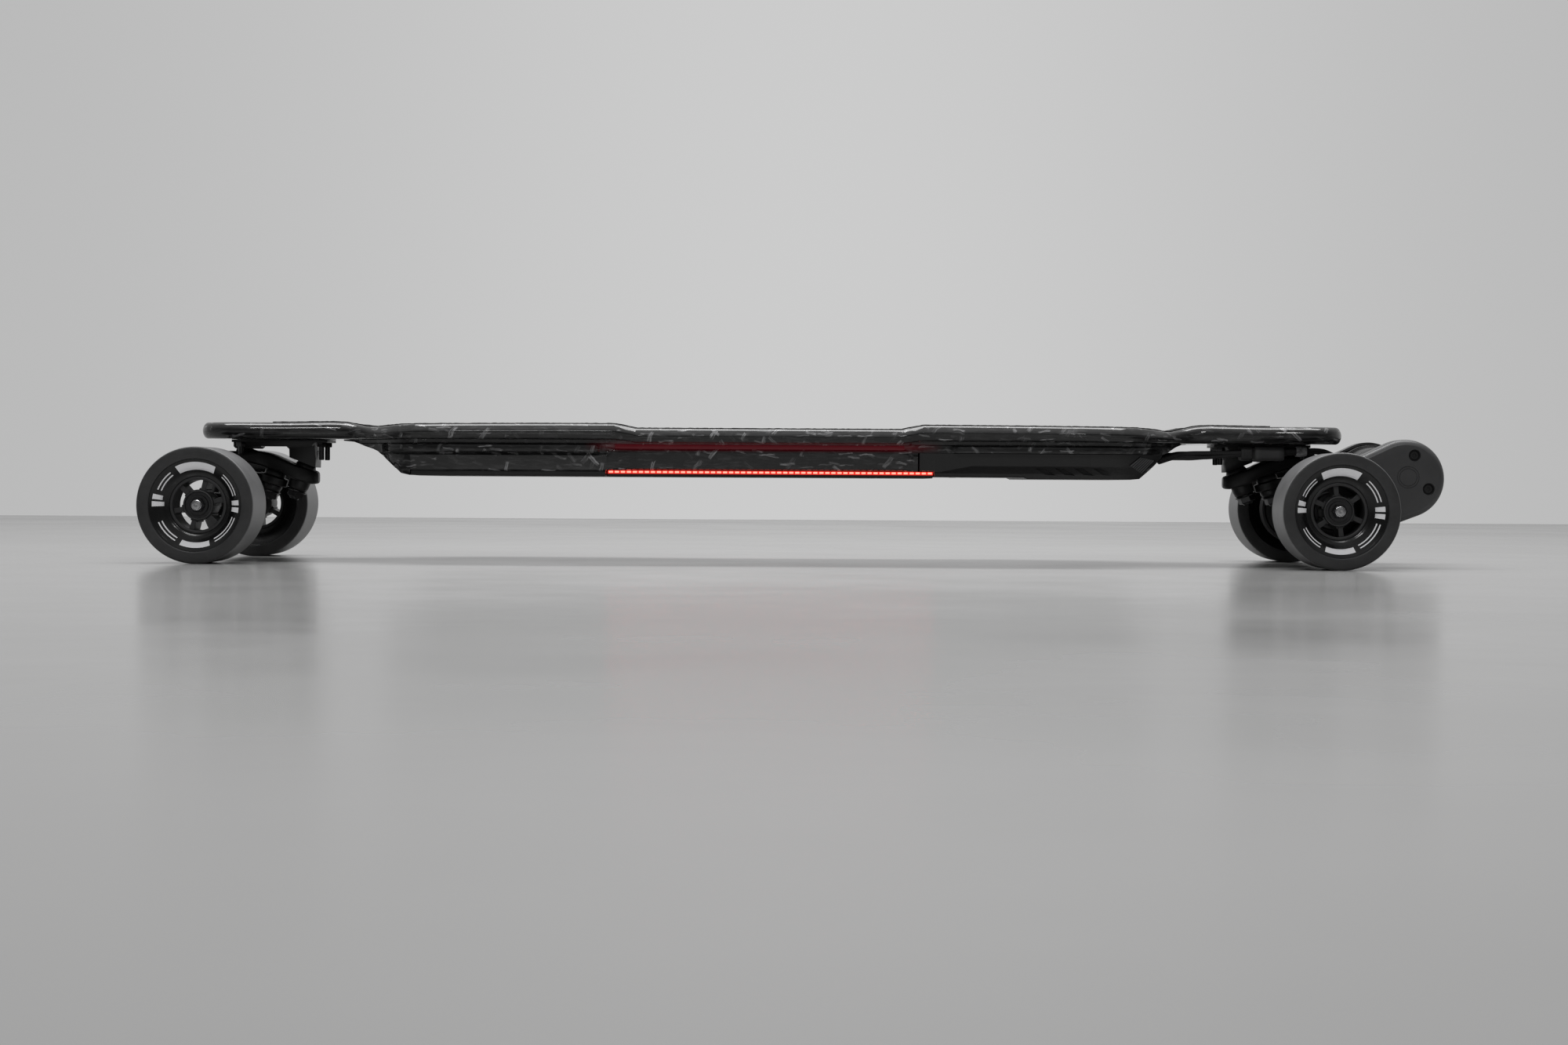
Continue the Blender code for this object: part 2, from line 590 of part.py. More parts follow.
        bore = rod(self.name + "_axle_bore", (self.axle_x, -70, AXLE_Z), (self.axle_x, 70, AXLE_Z), AXLE_RADIUS + 0.05,
                   None, 20, node=False)
        boolean(hanger, bore, "DIFFERENCE")

    def build_kingpin(self, which, seat, lean, ring, above, below):
        """A bolt with its nut, and the two bushings either side of the ring it passes through."""
        axis = self.pin_axis(lean)
        at = self.at(*with_y(seat))
        upper_start = 0.3
        ring_start = 5.3
        ring_end = ring_start + ring + 0.1
        lower_end = ring_end + 0.2 + (9.0 if which == "upper" else 5.6)
        nut = lower_end + 1.8
        head = -12.8 if which == "upper" else -4.4
        profile = [(head, 0.02), (head, 4.8), (lower_end + 0.3, 4.8), (lower_end + 0.3, 8.6), (nut, 8.6), (nut, 7.2),
                   (nut + 4.6, 7.2), (nut + 5.4, 6.4), (nut + 5.4, 4.6), (nut + 6.8, 4.6), (nut + 6.8, 0.02)]
        turned(self.name + "_" + which + "_kingpin", profile, at, axis, "steel", 14, smooth=False)
        r = BUSHING_RADIUS
        top = [(upper_start, 5.1), (upper_start, r - 1), (ring_start - 0.1, r), (ring_start - 0.1, 5.1)]
        turned(self.name + "_" + which + "_bushing_top", top, at, axis, "bushing", 18, smooth=False)
        low = [(ring_end + 0.2, 5.1), (ring_end + 0.2, r), (lower_end, r - 1), (lower_end, 5.1)]
        turned(self.name + "_" + which + "_bushing_low", low, at, axis, "bushing", 18, smooth=False)


def with_y(point):
    return point[0], 0, point[1]


# ---------------------------------------------------------------- wheels
def build_wheel(name, axle_x, side):
    centre = (axle_x, 0, AXLE_Z)
    w0, w1 = WHEEL_INNER_Y, WHEEL_OUTER_Y
    r = WHEEL_RADIUS
    dish = DISH_DEPTH
    profile = [(w0 + dish, CORE_RADIUS), (w0 + 6.6, 31.0), (w0 + 1.2, 38.0), (w0, 39.2), (w0 + 0.3, r - 1.4), (w0 + 1.6, r),
               (w1 - 1.6, r), (w1 - 0.3, r - 1.4), (w1, 39.2), (w1 - 1.2, 38.0), (w1 - 6.6, 31.0), (w1 - dish, CORE_RADIUS)]
    profile = [(side * y, radius) for y, radius in profile]
    turned(name + "_tyre", profile, centre, (0, 1, 0), "urethane", 36, origin=centre, smooth=True)

    y0, y1 = side * 100.0, side * 126.4
    hub = AXLE_RADIUS + 0.08
    profile = [(y0, hub), (y0, CORE_RADIUS - 0.05), (y1, CORE_RADIUS - 0.05), (y1, hub)]
    core = turned(name + "_core", profile, centre, (0, 1, 0), "core", 36, origin=centre)
    for i in range(6):
        middle = 60.0 * i + 44.0
        inner = arc(axle_x, AXLE_Z, 12.0, middle - 17, middle + 17, 3)
        outer = arc(axle_x, AXLE_Z, 20.0, middle + 22, middle - 22, 4)
        window = prism_y("%s_window_%d" % (name, i), inner + outer, side * 98, side * 132, None, node=False)
        boolean(core, window, "DIFFERENCE")


def toothed(cx, cz, teeth, clearance):
    """Outline of a round-tooth pulley, its teeth shorter than the belt's inside by the clearance."""
    outer = teeth * TOOTH_PITCH / (2 * math.pi) - 0.6 - clearance
    points = []
    for i in range(teeth):
        base = 360.0 * i / teeth
        step = 360.0 / teeth
        for share, radius in ((0.0, outer), (0.42, outer), (0.55, outer - 1.9), (0.87, outer - 1.9)):
            turn = math.radians(base + step * share)
            points.append((cx + radius * math.cos(turn), cz + radius * math.sin(turn)))
    return points


def belt_loop(c0, r0, c1, r1, steps):
    """Convex loop around two circles in the (x, z) plane."""
    dx, dz = c1[0] - c0[0], c1[1] - c0[1]
    gap = math.hypot(dx, dz)
    heading = math.degrees(math.atan2(dz, dx))
    spread = math.degrees(math.acos((r0 - r1) / gap))
    far = arc(c1[0], c1[1], r1, heading - spread, heading + spread, steps)
    near = arc(c0[0], c0[1], r0, heading + spread, heading + 360 - spread, steps)
    return far + near


def band(name, outer, inner, y0, y1, slot, **options):
    """A closed band between an outer and an inner loop with the same number of points."""
    count = len(outer)
    verts = []
    for loop, y in ((outer, y0), (outer, y1), (inner, y1), (inner, y0)):
        verts += [(x, y, z) for x, z in loop]
    faces = []
    for part in range(4):
        a, b = part * count, ((part + 1) % 4) * count
        for j in range(count):
            k = (j + 1) % count
            faces.append((a + j, a + k, b + k, b + j))
    return mesh_object(name, verts, faces, slot, **options)


def build_drive(name, side):
    axle = (REAR_AXLE_X, AXLE_Z)
    motor = (REAR_AXLE_X + MOTOR_DX, AXLE_Z + MOTOR_DZ)
    axle_point = (axle[0], 0, axle[1])
    motor_point = (motor[0], 0, motor[1])

    wheel_pitch = WHEEL_TEETH * TOOTH_PITCH / (2 * math.pi)
    motor_pitch = MOTOR_TEETH * TOOTH_PITCH / (2 * math.pi)
    pulley = prism_y(name + "_wheel_pulley", toothed(axle[0], axle[1], WHEEL_TEETH, 0.3), side * 67.2, side * 79,
                     "pulley", origin=axle_point)
    hub = rod(name + "_pulley_hub", (axle[0], side * 78, axle[1]), (axle[0], side * 99.8, axle[1]), 16.0, None, 28,
              node=False)
    boolean(pulley, hub, "UNION")
    bore = rod(name + "_pulley_bore", (axle[0], side * 60, axle[1]), (axle[0], side * 105, axle[1]),
               AXLE_RADIUS + 0.08, None, 20, node=False)
    boolean(pulley, bore, "DIFFERENCE")

    rotor = prism_y(name + "_motor_pulley", toothed(motor[0], motor[1], MOTOR_TEETH, 0.3), side * 67.2, side * 79,
                    "pulley", origin=motor_point)
    shaft = rod(name + "_shaft", (motor[0], side * 50, motor[1]), (motor[0], side * 70, motor[1]), 4.0, None, 20,
                node=False)
    boolean(rotor, shaft, "UNION")

    inner = belt_loop(axle, wheel_pitch - 0.3, motor, motor_pitch - 0.3, 16)
    outer = belt_loop(axle, wheel_pitch + 1.6, motor, motor_pitch + 1.6, 16)
    band(name + "_belt", outer, inner, side * 67.6, side * 78.6, "belt")

    profile = [(6, 0.02), (6, MOTOR_RADIUS - 2), (8, MOTOR_RADIUS), (56.4, MOTOR_RADIUS), (56.4, 4.3), (49, 4.3),
               (49, 0.02)]
    profile = [(side * y, r) for y, r in profile]
    turned(name + "_motor", profile, motor_point, (0, 1, 0), "motor", 28, smooth=False)

    plate = belt_loop(axle, 17.0, motor, 30.5, 14)
    mount = prism_y(name + "_mount", plate, side * 56.9, side * 64.0, "truck_black")
    clear = rod(name + "_mount_bore", (axle[0], side * 50, axle[1]), (axle[0], side * 66, axle[1]), 10.4, None, 24,
                node=False)
    boolean(mount, clear, "DIFFERENCE")
    clear = rod(name + "_mount_shaft", (motor[0], side * 50, motor[1]), (motor[0], side * 66, motor[1]), 9.0, None, 24,
                node=False)
    boolean(mount, clear, "DIFFERENCE")

    rings = []
    for y, inset in ((64.4, 0.0), (79.0, 0.0), (82.4, 1.4), (84.0, 4.2)):
        rings.append([(x, side * y, z) for x, z in belt_loop(axle, 30.0 - inset, motor, 33.0 - inset, 16)])
    cover = loft(name + "_cover", rings, "drive_cover")
    hollow = belt_loop(axle, 28.0, motor, 31.0, 16)
    inside = prism_y(name + "_cover_inside", hollow, side * 60, side * 80.4, None, node=False)
    boolean(cover, inside, "DIFFERENCE")
    clear = rod(name + "_cover_bore", (axle[0], side * 70, axle[1]), (axle[0], side * 90, axle[1]), 17.5, None, 28,
                node=False)
    boolean(cover, clear, "DIFFERENCE")
    for i, (dx, dz) in enumerate(((71.7, 47.2), (83.7, 18.9))):
        at = (axle[0] + dx, axle[1] + dz)
        dimple = rod("%s_dimple_%d" % (name, i), (at[0], side * 82.0, at[1]), (at[0], side * 90, at[1]), 4.9, None, 16,
                     node=False)
        boolean(cover, dimple, "DIFFERENCE")


def build_axle_nut(name, axle_x, side):
    outline = arc(axle_x, AXLE_Z, 6.6, 0, 300, 5)
    nut = prism_y(name + "_axle_nut", outline, side * 126.8, side * 132.4, "steel")
    hole = rod(name + "_nut_hole", (axle_x, side * 125, AXLE_Z), (axle_x, side * 140, AXLE_Z), AXLE_RADIUS + 0.05, None,
               20, node=False)
    boolean(nut, hole, "DIFFERENCE")


clear_scene()
build_deck()
build_hull()
build_rear_cover()
build_inside()
build_wiring()
Truck("front", FRONT_AXLE_X, 1).build()
Truck("rear", REAR_AXLE_X, -1).build()
for end, end_x in (("front", FRONT_AXLE_X), ("rear", REAR_AXLE_X)):
    for side, hand in ((-1, "left"), (1, "right")):
        build_wheel(end + "_" + hand, end_x, side)
        build_axle_nut(end + "_" + hand, end_x, side)
        if end == "rear":
            build_drive("rear_" + hand, side)
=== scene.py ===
"""Electric skateboard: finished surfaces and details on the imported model.

Helper functions take millimetres. X runs along the board and left is -Y. In the trucks, d is the distance
inboard of the axle.
"""

import json
import math
import random

import bmesh
import bpy
from mathutils import Matrix, Vector

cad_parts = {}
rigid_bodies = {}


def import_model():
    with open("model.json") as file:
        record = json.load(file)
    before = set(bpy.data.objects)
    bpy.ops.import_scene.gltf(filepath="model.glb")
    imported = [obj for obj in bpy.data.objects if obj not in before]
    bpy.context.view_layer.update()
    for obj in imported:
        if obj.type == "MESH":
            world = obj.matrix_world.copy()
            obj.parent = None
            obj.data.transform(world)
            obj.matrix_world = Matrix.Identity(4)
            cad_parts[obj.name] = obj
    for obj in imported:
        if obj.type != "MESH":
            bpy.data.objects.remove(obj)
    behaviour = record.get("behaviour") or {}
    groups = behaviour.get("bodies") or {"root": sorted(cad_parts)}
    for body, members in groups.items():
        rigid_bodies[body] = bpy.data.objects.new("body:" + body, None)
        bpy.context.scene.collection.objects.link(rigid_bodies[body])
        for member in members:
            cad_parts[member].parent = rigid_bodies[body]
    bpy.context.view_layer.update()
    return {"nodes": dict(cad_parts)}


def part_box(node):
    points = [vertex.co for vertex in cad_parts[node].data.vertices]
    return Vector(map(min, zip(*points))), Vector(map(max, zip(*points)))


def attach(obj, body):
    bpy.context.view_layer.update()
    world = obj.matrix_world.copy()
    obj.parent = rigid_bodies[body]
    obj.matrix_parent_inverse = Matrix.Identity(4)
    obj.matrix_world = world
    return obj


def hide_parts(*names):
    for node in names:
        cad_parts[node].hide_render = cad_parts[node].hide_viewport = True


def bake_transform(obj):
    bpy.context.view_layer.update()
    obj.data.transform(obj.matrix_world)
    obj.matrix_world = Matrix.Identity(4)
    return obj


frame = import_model()

MM = 0.001
FRONT_AXLE_X = -497.0
REAR_AXLE_X = 448.0
AXLE_Z = 48.5
DECK_MID_X = -23.5
DECK_HALF_LENGTH = 491.5
DECK_UNDERSIDE_Z = 104.4
HULL_BOTTOM_Z = 78.4
LED_ROOF_Z = 79.8
LED_SIDE_Y = 102.0
MOTOR_DX = 64.5
MOTOR_DZ = 27.5
BUTTON_X = 60
BUTTON_Y = 30
PLATE_FACE_Z = 74.0
HARNESS_Y = 44.0
WHEEL_MID_Y = 113.0
TREAD_R = 48.5
ACROSS = (0, 1, 0)
UP = (0, 0, 1)
DOWN = (0, 0, -1)
CAMERA_PLACE = (0.01605, -2.23517, 0.06909)  # metres
CAMERA_LENS = 58.49
WALL_TONE = 0.60
ROOM_TONE = 0.20
RECESS_RED = (1.0, 0.03, 0.08, 1)


# ---------------------------------------------------------------- camera and light
def build_camera():
    yaw, pitch, roll = -0.01251, -0.0153, 0.00564
    ahead = Vector((math.sin(yaw) * math.cos(pitch), math.cos(yaw) * math.cos(pitch), math.sin(pitch)))
    right = Vector((math.cos(yaw), -math.sin(yaw), 0))
    up = right.cross(ahead)
    tilted_right = math.cos(roll) * right + math.sin(roll) * up
    tilted_up = -math.sin(roll) * right + math.cos(roll) * up
    data = bpy.data.cameras.new("camera")
    data.lens = CAMERA_LENS
    data.sensor_width = 36.0
    data.clip_start = 0.05
    data.clip_end = 60.0
    camera = bpy.data.objects.new("camera", data)
    turn = Matrix((tilted_right, tilted_up, -ahead)).transposed()
    camera.matrix_world = Matrix.Translation(CAMERA_PLACE) @ turn.to_4x4()
    bpy.context.scene.collection.objects.link(camera)
    bpy.context.scene.camera = camera


def area_light(name, place, target, width, height, power):
    data = bpy.data.lights.new(name, "AREA")
    data.shape = "RECTANGLE"
    data.size = width
    data.size_y = height
    data.energy = power
    light = bpy.data.objects.new(name, data)
    light.location = place
    light.rotation_euler = (Vector(target) - Vector(place)).to_track_quat("-Z", "Y").to_euler()
    bpy.context.scene.collection.objects.link(light)


def build_world():
    """A pale studio: light wall behind the board, dimmer room behind the camera and towards the sides."""
    world = bpy.data.worlds.new("studio")
    world.use_nodes = True
    tree = world.node_tree
    place = tree.nodes.new("ShaderNodeTexCoord")
    parts = tree.nodes.new("ShaderNodeSeparateXYZ")
    tree.links.new(place.outputs["Generated"], parts.inputs[0])
    side = tree.nodes.new("ShaderNodeMath")
    side.operation = "ABSOLUTE"
    tree.links.new(parts.outputs[0], side.inputs[0])
    total = None
    steps = (
        (side.outputs[0], 0.0, 0.34, 0.0, -0.11),
        (parts.outputs[1], -0.5, 0.8, ROOM_TONE - WALL_TONE, 0.0),
        (parts.outputs[2], 0.3, 0.9, 0.0, 0.22),
    )
    for source, low, high, out_low, out_high in steps:
        span = tree.nodes.new("ShaderNodeMapRange")
        span.interpolation_type = "SMOOTHSTEP"
        tree.links.new(source, span.inputs[0])
        for socket, value in zip((1, 2, 3, 4), (low, high, out_low, out_high)):
            span.inputs[socket].default_value = value
        joint = tree.nodes.new("ShaderNodeMath")
        joint.operation = "ADD"
        tree.links.new(span.outputs[0], joint.inputs[0])
        if total is None:
            joint.inputs[1].default_value = WALL_TONE
        else:
            tree.links.new(total, joint.inputs[1])
        total = joint.outputs[0]
    background = tree.nodes["Background"]
    tree.links.new(total, background.inputs["Color"])
    bpy.context.scene.world = world


def build_lights():
    bpy.context.scene.view_settings.view_transform = "Standard"
    build_world()
    area_light("overhead", (0.0, 0.3, 2.6), (0, 0, 0), 3.4, 0.9, 78)
    area_light("front_left_strip", (-0.80, -2.9, 2.3), (-0.2, 0, 0.1), 0.85, 0.22, 17)
    area_light("front_right_strip", (0.95, -2.9, 2.3), (0.2, 0, 0.1), 0.3, 0.22, 7)


# ---------------------------------------------------------------- node materials
class Shader:
    """A small builder for node materials: each call adds one node and returns its first output."""

    def __init__(self, name, roughness=0.5, metallic=0.0, coat=0.0, coat_roughness=0.03, ior=1.5):
        self.material = bpy.data.materials.new(name)
        self.material.use_nodes = True
        self.tree = self.material.node_tree
        self.shader = self.tree.nodes["Principled BSDF"]
        self.set("Roughness", roughness)
        self.set("Metallic", metallic)
        self.set("Coat Weight", coat)
        self.set("Coat Roughness", coat_roughness)
        self.set("IOR", ior)
        self.place = self.node("ShaderNodeTexCoord").outputs["Object"]

    def set(self, socket, value):
        target = self.shader.inputs[socket]
        if isinstance(value, (int, float, tuple)):
            target.default_value = value
        else:
            self.tree.links.new(value, target)

    def node(self, kind, **settings):
        made = self.tree.nodes.new(kind)
        for key, value in settings.items():
            setattr(made, key, value)
        return made

    def wire(self, made, inputs):
        for key, value in inputs.items():
            socket = made.inputs[key]
            if isinstance(value, bpy.types.NodeSocket):
                self.tree.links.new(value, socket)
            else:
                socket.default_value = value

    def math(self, operation, a, b=0.0):
        made = self.node("ShaderNodeMath", operation=operation)
        self.wire(made, {0: a, 1: b})
        return made.outputs[0]

    def noise(self, scale, detail=3.0, roughness=0.55, at=None):
        made = self.node("ShaderNodeTexNoise")
        self.wire(made, {"Vector": at or self.place, "Scale": scale, "Detail": detail,
            "Roughness": roughness})
        return made.outputs["Fac"]

    def stretch(self, scale, at=None):
        made = self.node("ShaderNodeMapping")
        self.wire(made, {"Vector": at or self.place, "Scale": scale})
        return made.outputs[0]

    def cells(self, scale, at=None):
        made = self.node("ShaderNodeTexVoronoi")
        self.wire(made, {"Vector": at or self.place, "Scale": scale})
        return made

    def axes(self):
        made = self.node("ShaderNodeSeparateXYZ")
        self.wire(made, {0: self.place})
        return made.outputs

    def ramp(self, value, low, high, out_low=0.0, out_high=1.0):
        made = self.node("ShaderNodeMapRange")
        self.wire(made, {0: value, 1: low, 2: high, 3: out_low, 4: out_high})
        return made.outputs[0]

    def blend(self, factor, a, b):
        made = self.node("ShaderNodeMix", data_type="RGBA")
        self.wire(made, {0: factor, 6: a, 7: b})
        return made.outputs[2]

    def bump(self, height, strength, distance):
        made = self.node("ShaderNodeBump")
        self.wire(made, {"Height": height, "Strength": strength, "Distance": distance})
        self.tree.links.new(made.outputs[0], self.shader.inputs["Normal"])


def grey(level):
    return (level, level, level * 1.02, 1)


def forged_carbon(name):
    """Chopped carbon under clear coat: near-black ground, sparse flakes with fibres as painted glints,
    painted red glow in the recess.
    """
    s = Shader(name, roughness=0.4, coat=1.0, coat_roughness=0.03)
    s.set("Specular IOR Level", 0.15)
    warp = s.node("ShaderNodeTexNoise")
    s.wire(warp, {"Vector": s.place, "Scale": 90.0, "Detail": 2.0})
    shift = s.node("ShaderNodeVectorMath", operation="SCALE")
    s.wire(shift, {0: warp.outputs["Color"], "Scale": 0.004})
    moved = s.node("ShaderNodeVectorMath", operation="ADD")
    s.wire(moved, {0: s.place, 1: shift.outputs[0]})
    layers = (
        (0.95, (62.0, 60.0, 215.0), 0.90),
        (-0.75, (70.0, 70.0, 250.0), 0.91),
        (1.3, (85.0, 80.0, 240.0), 0.92),
        (0.06, (60.0, 90.0, 520.0), 0.84),
        (-0.2, (75.0, 80.0, 430.0), 0.88),
    )
    total = None
    for tilt, grain, rare in layers:
        turn = s.node("ShaderNodeVectorRotate", rotation_type="AXIS_ANGLE")
        s.wire(turn, {"Vector": moved.outputs[0], "Axis": (0.12, 1.0, 0.2), "Angle": tilt})
        cell = s.cells(1.0, at=s.stretch(grain, turn.outputs[0]))
        cell.distance = "CHEBYCHEV"
        parts = s.node("ShaderNodeSeparateColor")
        s.wire(parts, {0: cell.outputs["Color"]})
        # Each chosen flake is lightened as a painted glint, standing for light caught by the chip's fibres.
        bright = s.math("POWER", s.ramp(parts.outputs[0], rare, 1.0, 0.22, 1.0), 2.2)
        chosen = s.math("GREATER_THAN", parts.outputs[0], rare)
        core = s.ramp(cell.outputs["Distance"], 0.30, 0.40, 1.0, 0.0)
        fibre = s.noise(1.0, 3.0, 0.7, at=s.stretch((110.0, 110.0, 1300.0), turn.outputs[0]))
        painted_flake_glint = s.math("MULTIPLY", s.math("MULTIPLY", bright, chosen), s.ramp(fibre, 0.42, 0.60, 0.12, 1.0))
        painted_flake_glint = s.math("MULTIPLY", painted_flake_glint, core)
        total = painted_flake_glint if total is None else s.math("MAXIMUM", total, painted_flake_glint)
    tiles = s.cells(1.0, at=s.stretch((80.0, 80.0, 260.0), moved.outputs[0]))
    shade = s.node("ShaderNodeSeparateColor")
    s.wire(shade, {0: tiles.outputs["Color"]})
    faint = s.noise(1.0, 3.0, 0.7, at=s.stretch((90.0, 90.0, 700.0)))
    mottle = s.math("MULTIPLY", shade.outputs[0], s.ramp(faint, 0.4, 0.7))
    ground = s.blend(mottle, grey(0.0025), grey(0.045))
    # The painted flake glints lighten the base colour here.
    s.set("Base Color", s.blend(total, ground, grey(0.36)))
    s.set("Roughness", s.ramp(total, 0.0, 1.0, 0.46, 0.3))
    x, y, z = s.axes()
    # Painted red glow: the carbon round the waist recess emits red, standing for the recess light falling on
    # it.
    along = s.math("MULTIPLY", s.ramp(x, -0.178, -0.150), s.ramp(x, 0.096, 0.122, 1.0, 0.0))
    band = s.math("MULTIPLY", s.ramp(z, 0.0945, 0.0990), s.ramp(z, 0.0995, 0.1045, 1.0, 0.0))
    outside = s.ramp(s.math("ABSOLUTE", y), 0.090, 0.094)
    s.set("Emission Color", RECESS_RED)
    s.set("Emission Strength", s.math("MULTIPLY", s.math("MULTIPLY", along, band),
        s.math("MULTIPLY", outside, 0.040)))
    s.bump(s.noise(240.0, 2.0), 0.10, 0.0004)
    return s.material


def grip_tape(name):
    s = Shader(name, roughness=0.94)
    grit = s.cells(1500.0).outputs["Distance"]
    coarse = s.noise(620.0, 4.0, 0.7)
    # Sparse light flecks are painted glints on the grit.
    painted_grit_glint = s.ramp(s.noise(1700.0, 2.0, 0.8), 0.66, 0.74)
    dust = s.ramp(s.noise(11.0, 4.0), 0.35, 0.75, 0.0, 0.35)
    base = s.blend(dust, grey(0.010), grey(0.022))
    s.set("Base Color", s.blend(painted_grit_glint, base, grey(0.12)))
    height = s.math("ADD", s.math("MULTIPLY", grit, 0.8), coarse)
    s.bump(height, 0.9, 0.0006)
    return s.material


def painted(name, level, roughness, grain=900.0, strength=0.12, wear=0.0, metallic=0.0, coat=0.0):
    """Satin plastic or paint: fine moulded grain, faint dust and uneven gloss."""
    s = Shader(name, roughness=roughness, metallic=metallic, coat=coat, coat_roughness=0.12)
    smudge = s.noise(16.0, 5.0, 0.6)
    tint = s.blend(s.ramp(smudge, 0.3, 0.75), grey(level * 0.86), grey(level * 1.2))
    if wear:
        rub = s.ramp(s.noise(70.0, 6.0, 0.75), 0.62, 0.72)
        tint = s.blend(s.math("MULTIPLY", rub, wear), tint, grey(level + 0.09))
    s.set("Base Color", tint)
    s.set("Roughness", s.ramp(smudge, 0.25, 0.8, max(0.05, roughness - 0.07), roughness + 0.09))
    s.bump(s.noise(grain, 3.0, 0.6), strength, 0.0003)
    return s.material


def urethane(name):
    """Cast and turned urethane: dark glossy dished face, satin outer ring, tread paler from scuffs and a
    painted reflection of the bright wall.
    """
    s = Shader(name)
    x, _, z = s.axes()
    radius = s.math("SQRT", s.math("ADD", s.math("MULTIPLY", x, x), s.math("MULTIPLY", z, z)))
    rings = s.math("SINE", s.math("MULTIPLY", radius, 9000.0))
    scuff = s.noise(60.0, 6.0, 0.7, at=s.stretch((1.0, 3.0, 1.0)))
    dust = s.noise(24.0, 5.0)
    dish = s.blend(s.ramp(dust, 0.35, 0.75), grey(0.006), grey(0.012))
    rim = s.blend(s.ramp(scuff, 0.3, 0.7), grey(0.034), grey(0.050))
    # The tread's pale tone is partly scuffing and partly a painted reflection of the bright wall and floor.
    tread_scuff_and_sheen = s.blend(s.ramp(scuff, 0.36, 0.66), grey(0.135), grey(0.185))
    outer = s.ramp(radius, 0.0381, 0.0386)
    run = s.ramp(radius, 0.04790, 0.0482)
    s.set("Base Color", s.blend(run, s.blend(outer, dish, rim), tread_scuff_and_sheen))
    polish = s.ramp(radius, 0.0380, 0.0388, 0.17, 0.38)
    s.set("Roughness", s.math("ADD", polish, s.ramp(scuff, 0.3, 0.7, -0.04, 0.10)))
    height = s.math("ADD", s.math("MULTIPLY", rings, 0.12), s.math("MULTIPLY", scuff, 0.5))
    s.bump(height, 0.08, 0.0002)
    return s.material


def steel(name, level=0.58, roughness=0.24):
    s = Shader(name, roughness=roughness, metallic=1.0)
    brushed = s.noise(520.0, 4.0, 0.7, at=s.stretch((1.0, 0.12, 1.0)))
    s.set("Base Color", s.blend(brushed, grey(level * 0.8), grey(level * 1.1)))
    s.set("Roughness", s.ramp(brushed, 0.3, 0.7, roughness - 0.06, roughness + 0.1))
    s.bump(brushed, 0.08, 0.0001)
    return s.material


def braided(name, level=0.012):
    """Woven sleeve: two crossing sets of strands."""
    s = Shader(name, roughness=0.72)
    x, y, z = s.axes()
    across = s.math("ADD", y, z)
    one = s.math("SINE", s.math("MULTIPLY", s.math("ADD", x, across), 3600.0))
    two = s.math("SINE", s.math("MULTIPLY", s.math("SUBTRACT", x, across), 3600.0))
    weave = s.math("MAXIMUM", one, two)
    s.set("Base Color", s.blend(s.ramp(weave, 0.2, 1.0), grey(level * 0.5), grey(level * 2.2)))
    s.bump(weave, 0.5, 0.0004)
    return s.material


def printed_white(name):
    s = Shader(name, roughness=0.42)
    worn = s.ramp(s.noise(420.0, 5.0, 0.7), 0.66, 0.78, 0.0, 0.45)
    s.set("Base Color", s.blend(worn, grey(0.90), grey(0.42)))
    # The slight emission is a painted glow that brightens the white print.
    s.set("Emission Color", grey(1.0))
    s.set("Emission Strength", 0.10)
    return s.material


def woven_tag(name):
    s = Shader(name, roughness=0.8)
    weave = s.cells(700.0).outputs["Distance"]
    patch = s.noise(190.0, 4.0, 0.7)
    s.set("Base Color", s.blend(s.ramp(patch, 0.38, 0.66), grey(0.14), grey(0.5)))
    s.bump(weave, 0.5, 0.0004)
    return s.material


def glowing(name, colour, strength):
    s = Shader(name, roughness=0.3)
    pulse = s.noise(900.0, 2.0)
    dim = tuple(c * 0.8 for c in colour[:3]) + (1,)
    s.set("Base Color", s.blend(pulse, (0.02, 0.004, 0.004, 1), (0.05, 0.006, 0.006, 1)))
    s.set("Emission Color", s.blend(pulse, dim, colour))
    s.set("Emission Strength", strength)
    return s.material


def build_materials():
    return {
        "carbon": forged_carbon("forged_carbon"),
        "grip": grip_tape("grip_grit"),
        "cover_black": painted("moulded_black", 0.013, 0.42, 1100, 0.16),
        "rib_grey": painted("rib_grey", 0.075, 0.4, 1100, 0.16),
        "led": glowing("led_dot", (1.0, 0.125, 0.092, 1), 5.2),
        "led_lens": glowing("led_lens", (1.0, 0.035, 0.02, 1), 0.9),
        "recess_light": glowing("recess_light", RECESS_RED, 0.055),
        "button": painted("button_gloss", 0.02, 0.2, coat=0.6),
        "sleeve": braided("braided_sleeve"),
        "rubber": painted("moulded_rubber", 0.016, 0.62, 800, 0.2),
        "silicone": painted("silicone_cover", 0.045, 0.5, 700, 0.15),
        "tag": woven_tag("woven_tag"),
        "truck_black": painted("truck_coat", 0.006, 0.38, 700, 0.22, wear=0.06),
        "steel": steel("plated_steel"),
        "dark_steel": steel("dark_steel", 0.07, 0.3),
        "bushing": painted("bushing_urethane", 0.018, 0.38, 500, 0.1),
        "urethane": urethane("wheel_urethane"),
        "core": painted("core_nylon", 0.030, 0.42, 800, 0.18),
        "print": printed_white("white_print"),
        "motor": painted("motor_coat", 0.012, 0.36, 900, 0.12, metallic=0.2),
        "pulley": steel("pulley_metal", 0.12, 0.36),
        "belt": painted("belt_rubber", 0.008, 0.7, 900, 0.3),
        "drive_cover": painted("cover_satin", 0.078, 0.38, 1300, 0.14, metallic=0.3),
    }


# ---------------------------------------------------------------- mesh helpers
def lerp(table, x):
    if x <= table[0][0]:
        return table[0][1]
    for (x0, v0), (x1, v1) in zip(table, table[1:]):
        if x <= x1:
            return v0 + (v1 - v0) * (x - x0) / (x1 - x0)
    return table[-1][1]


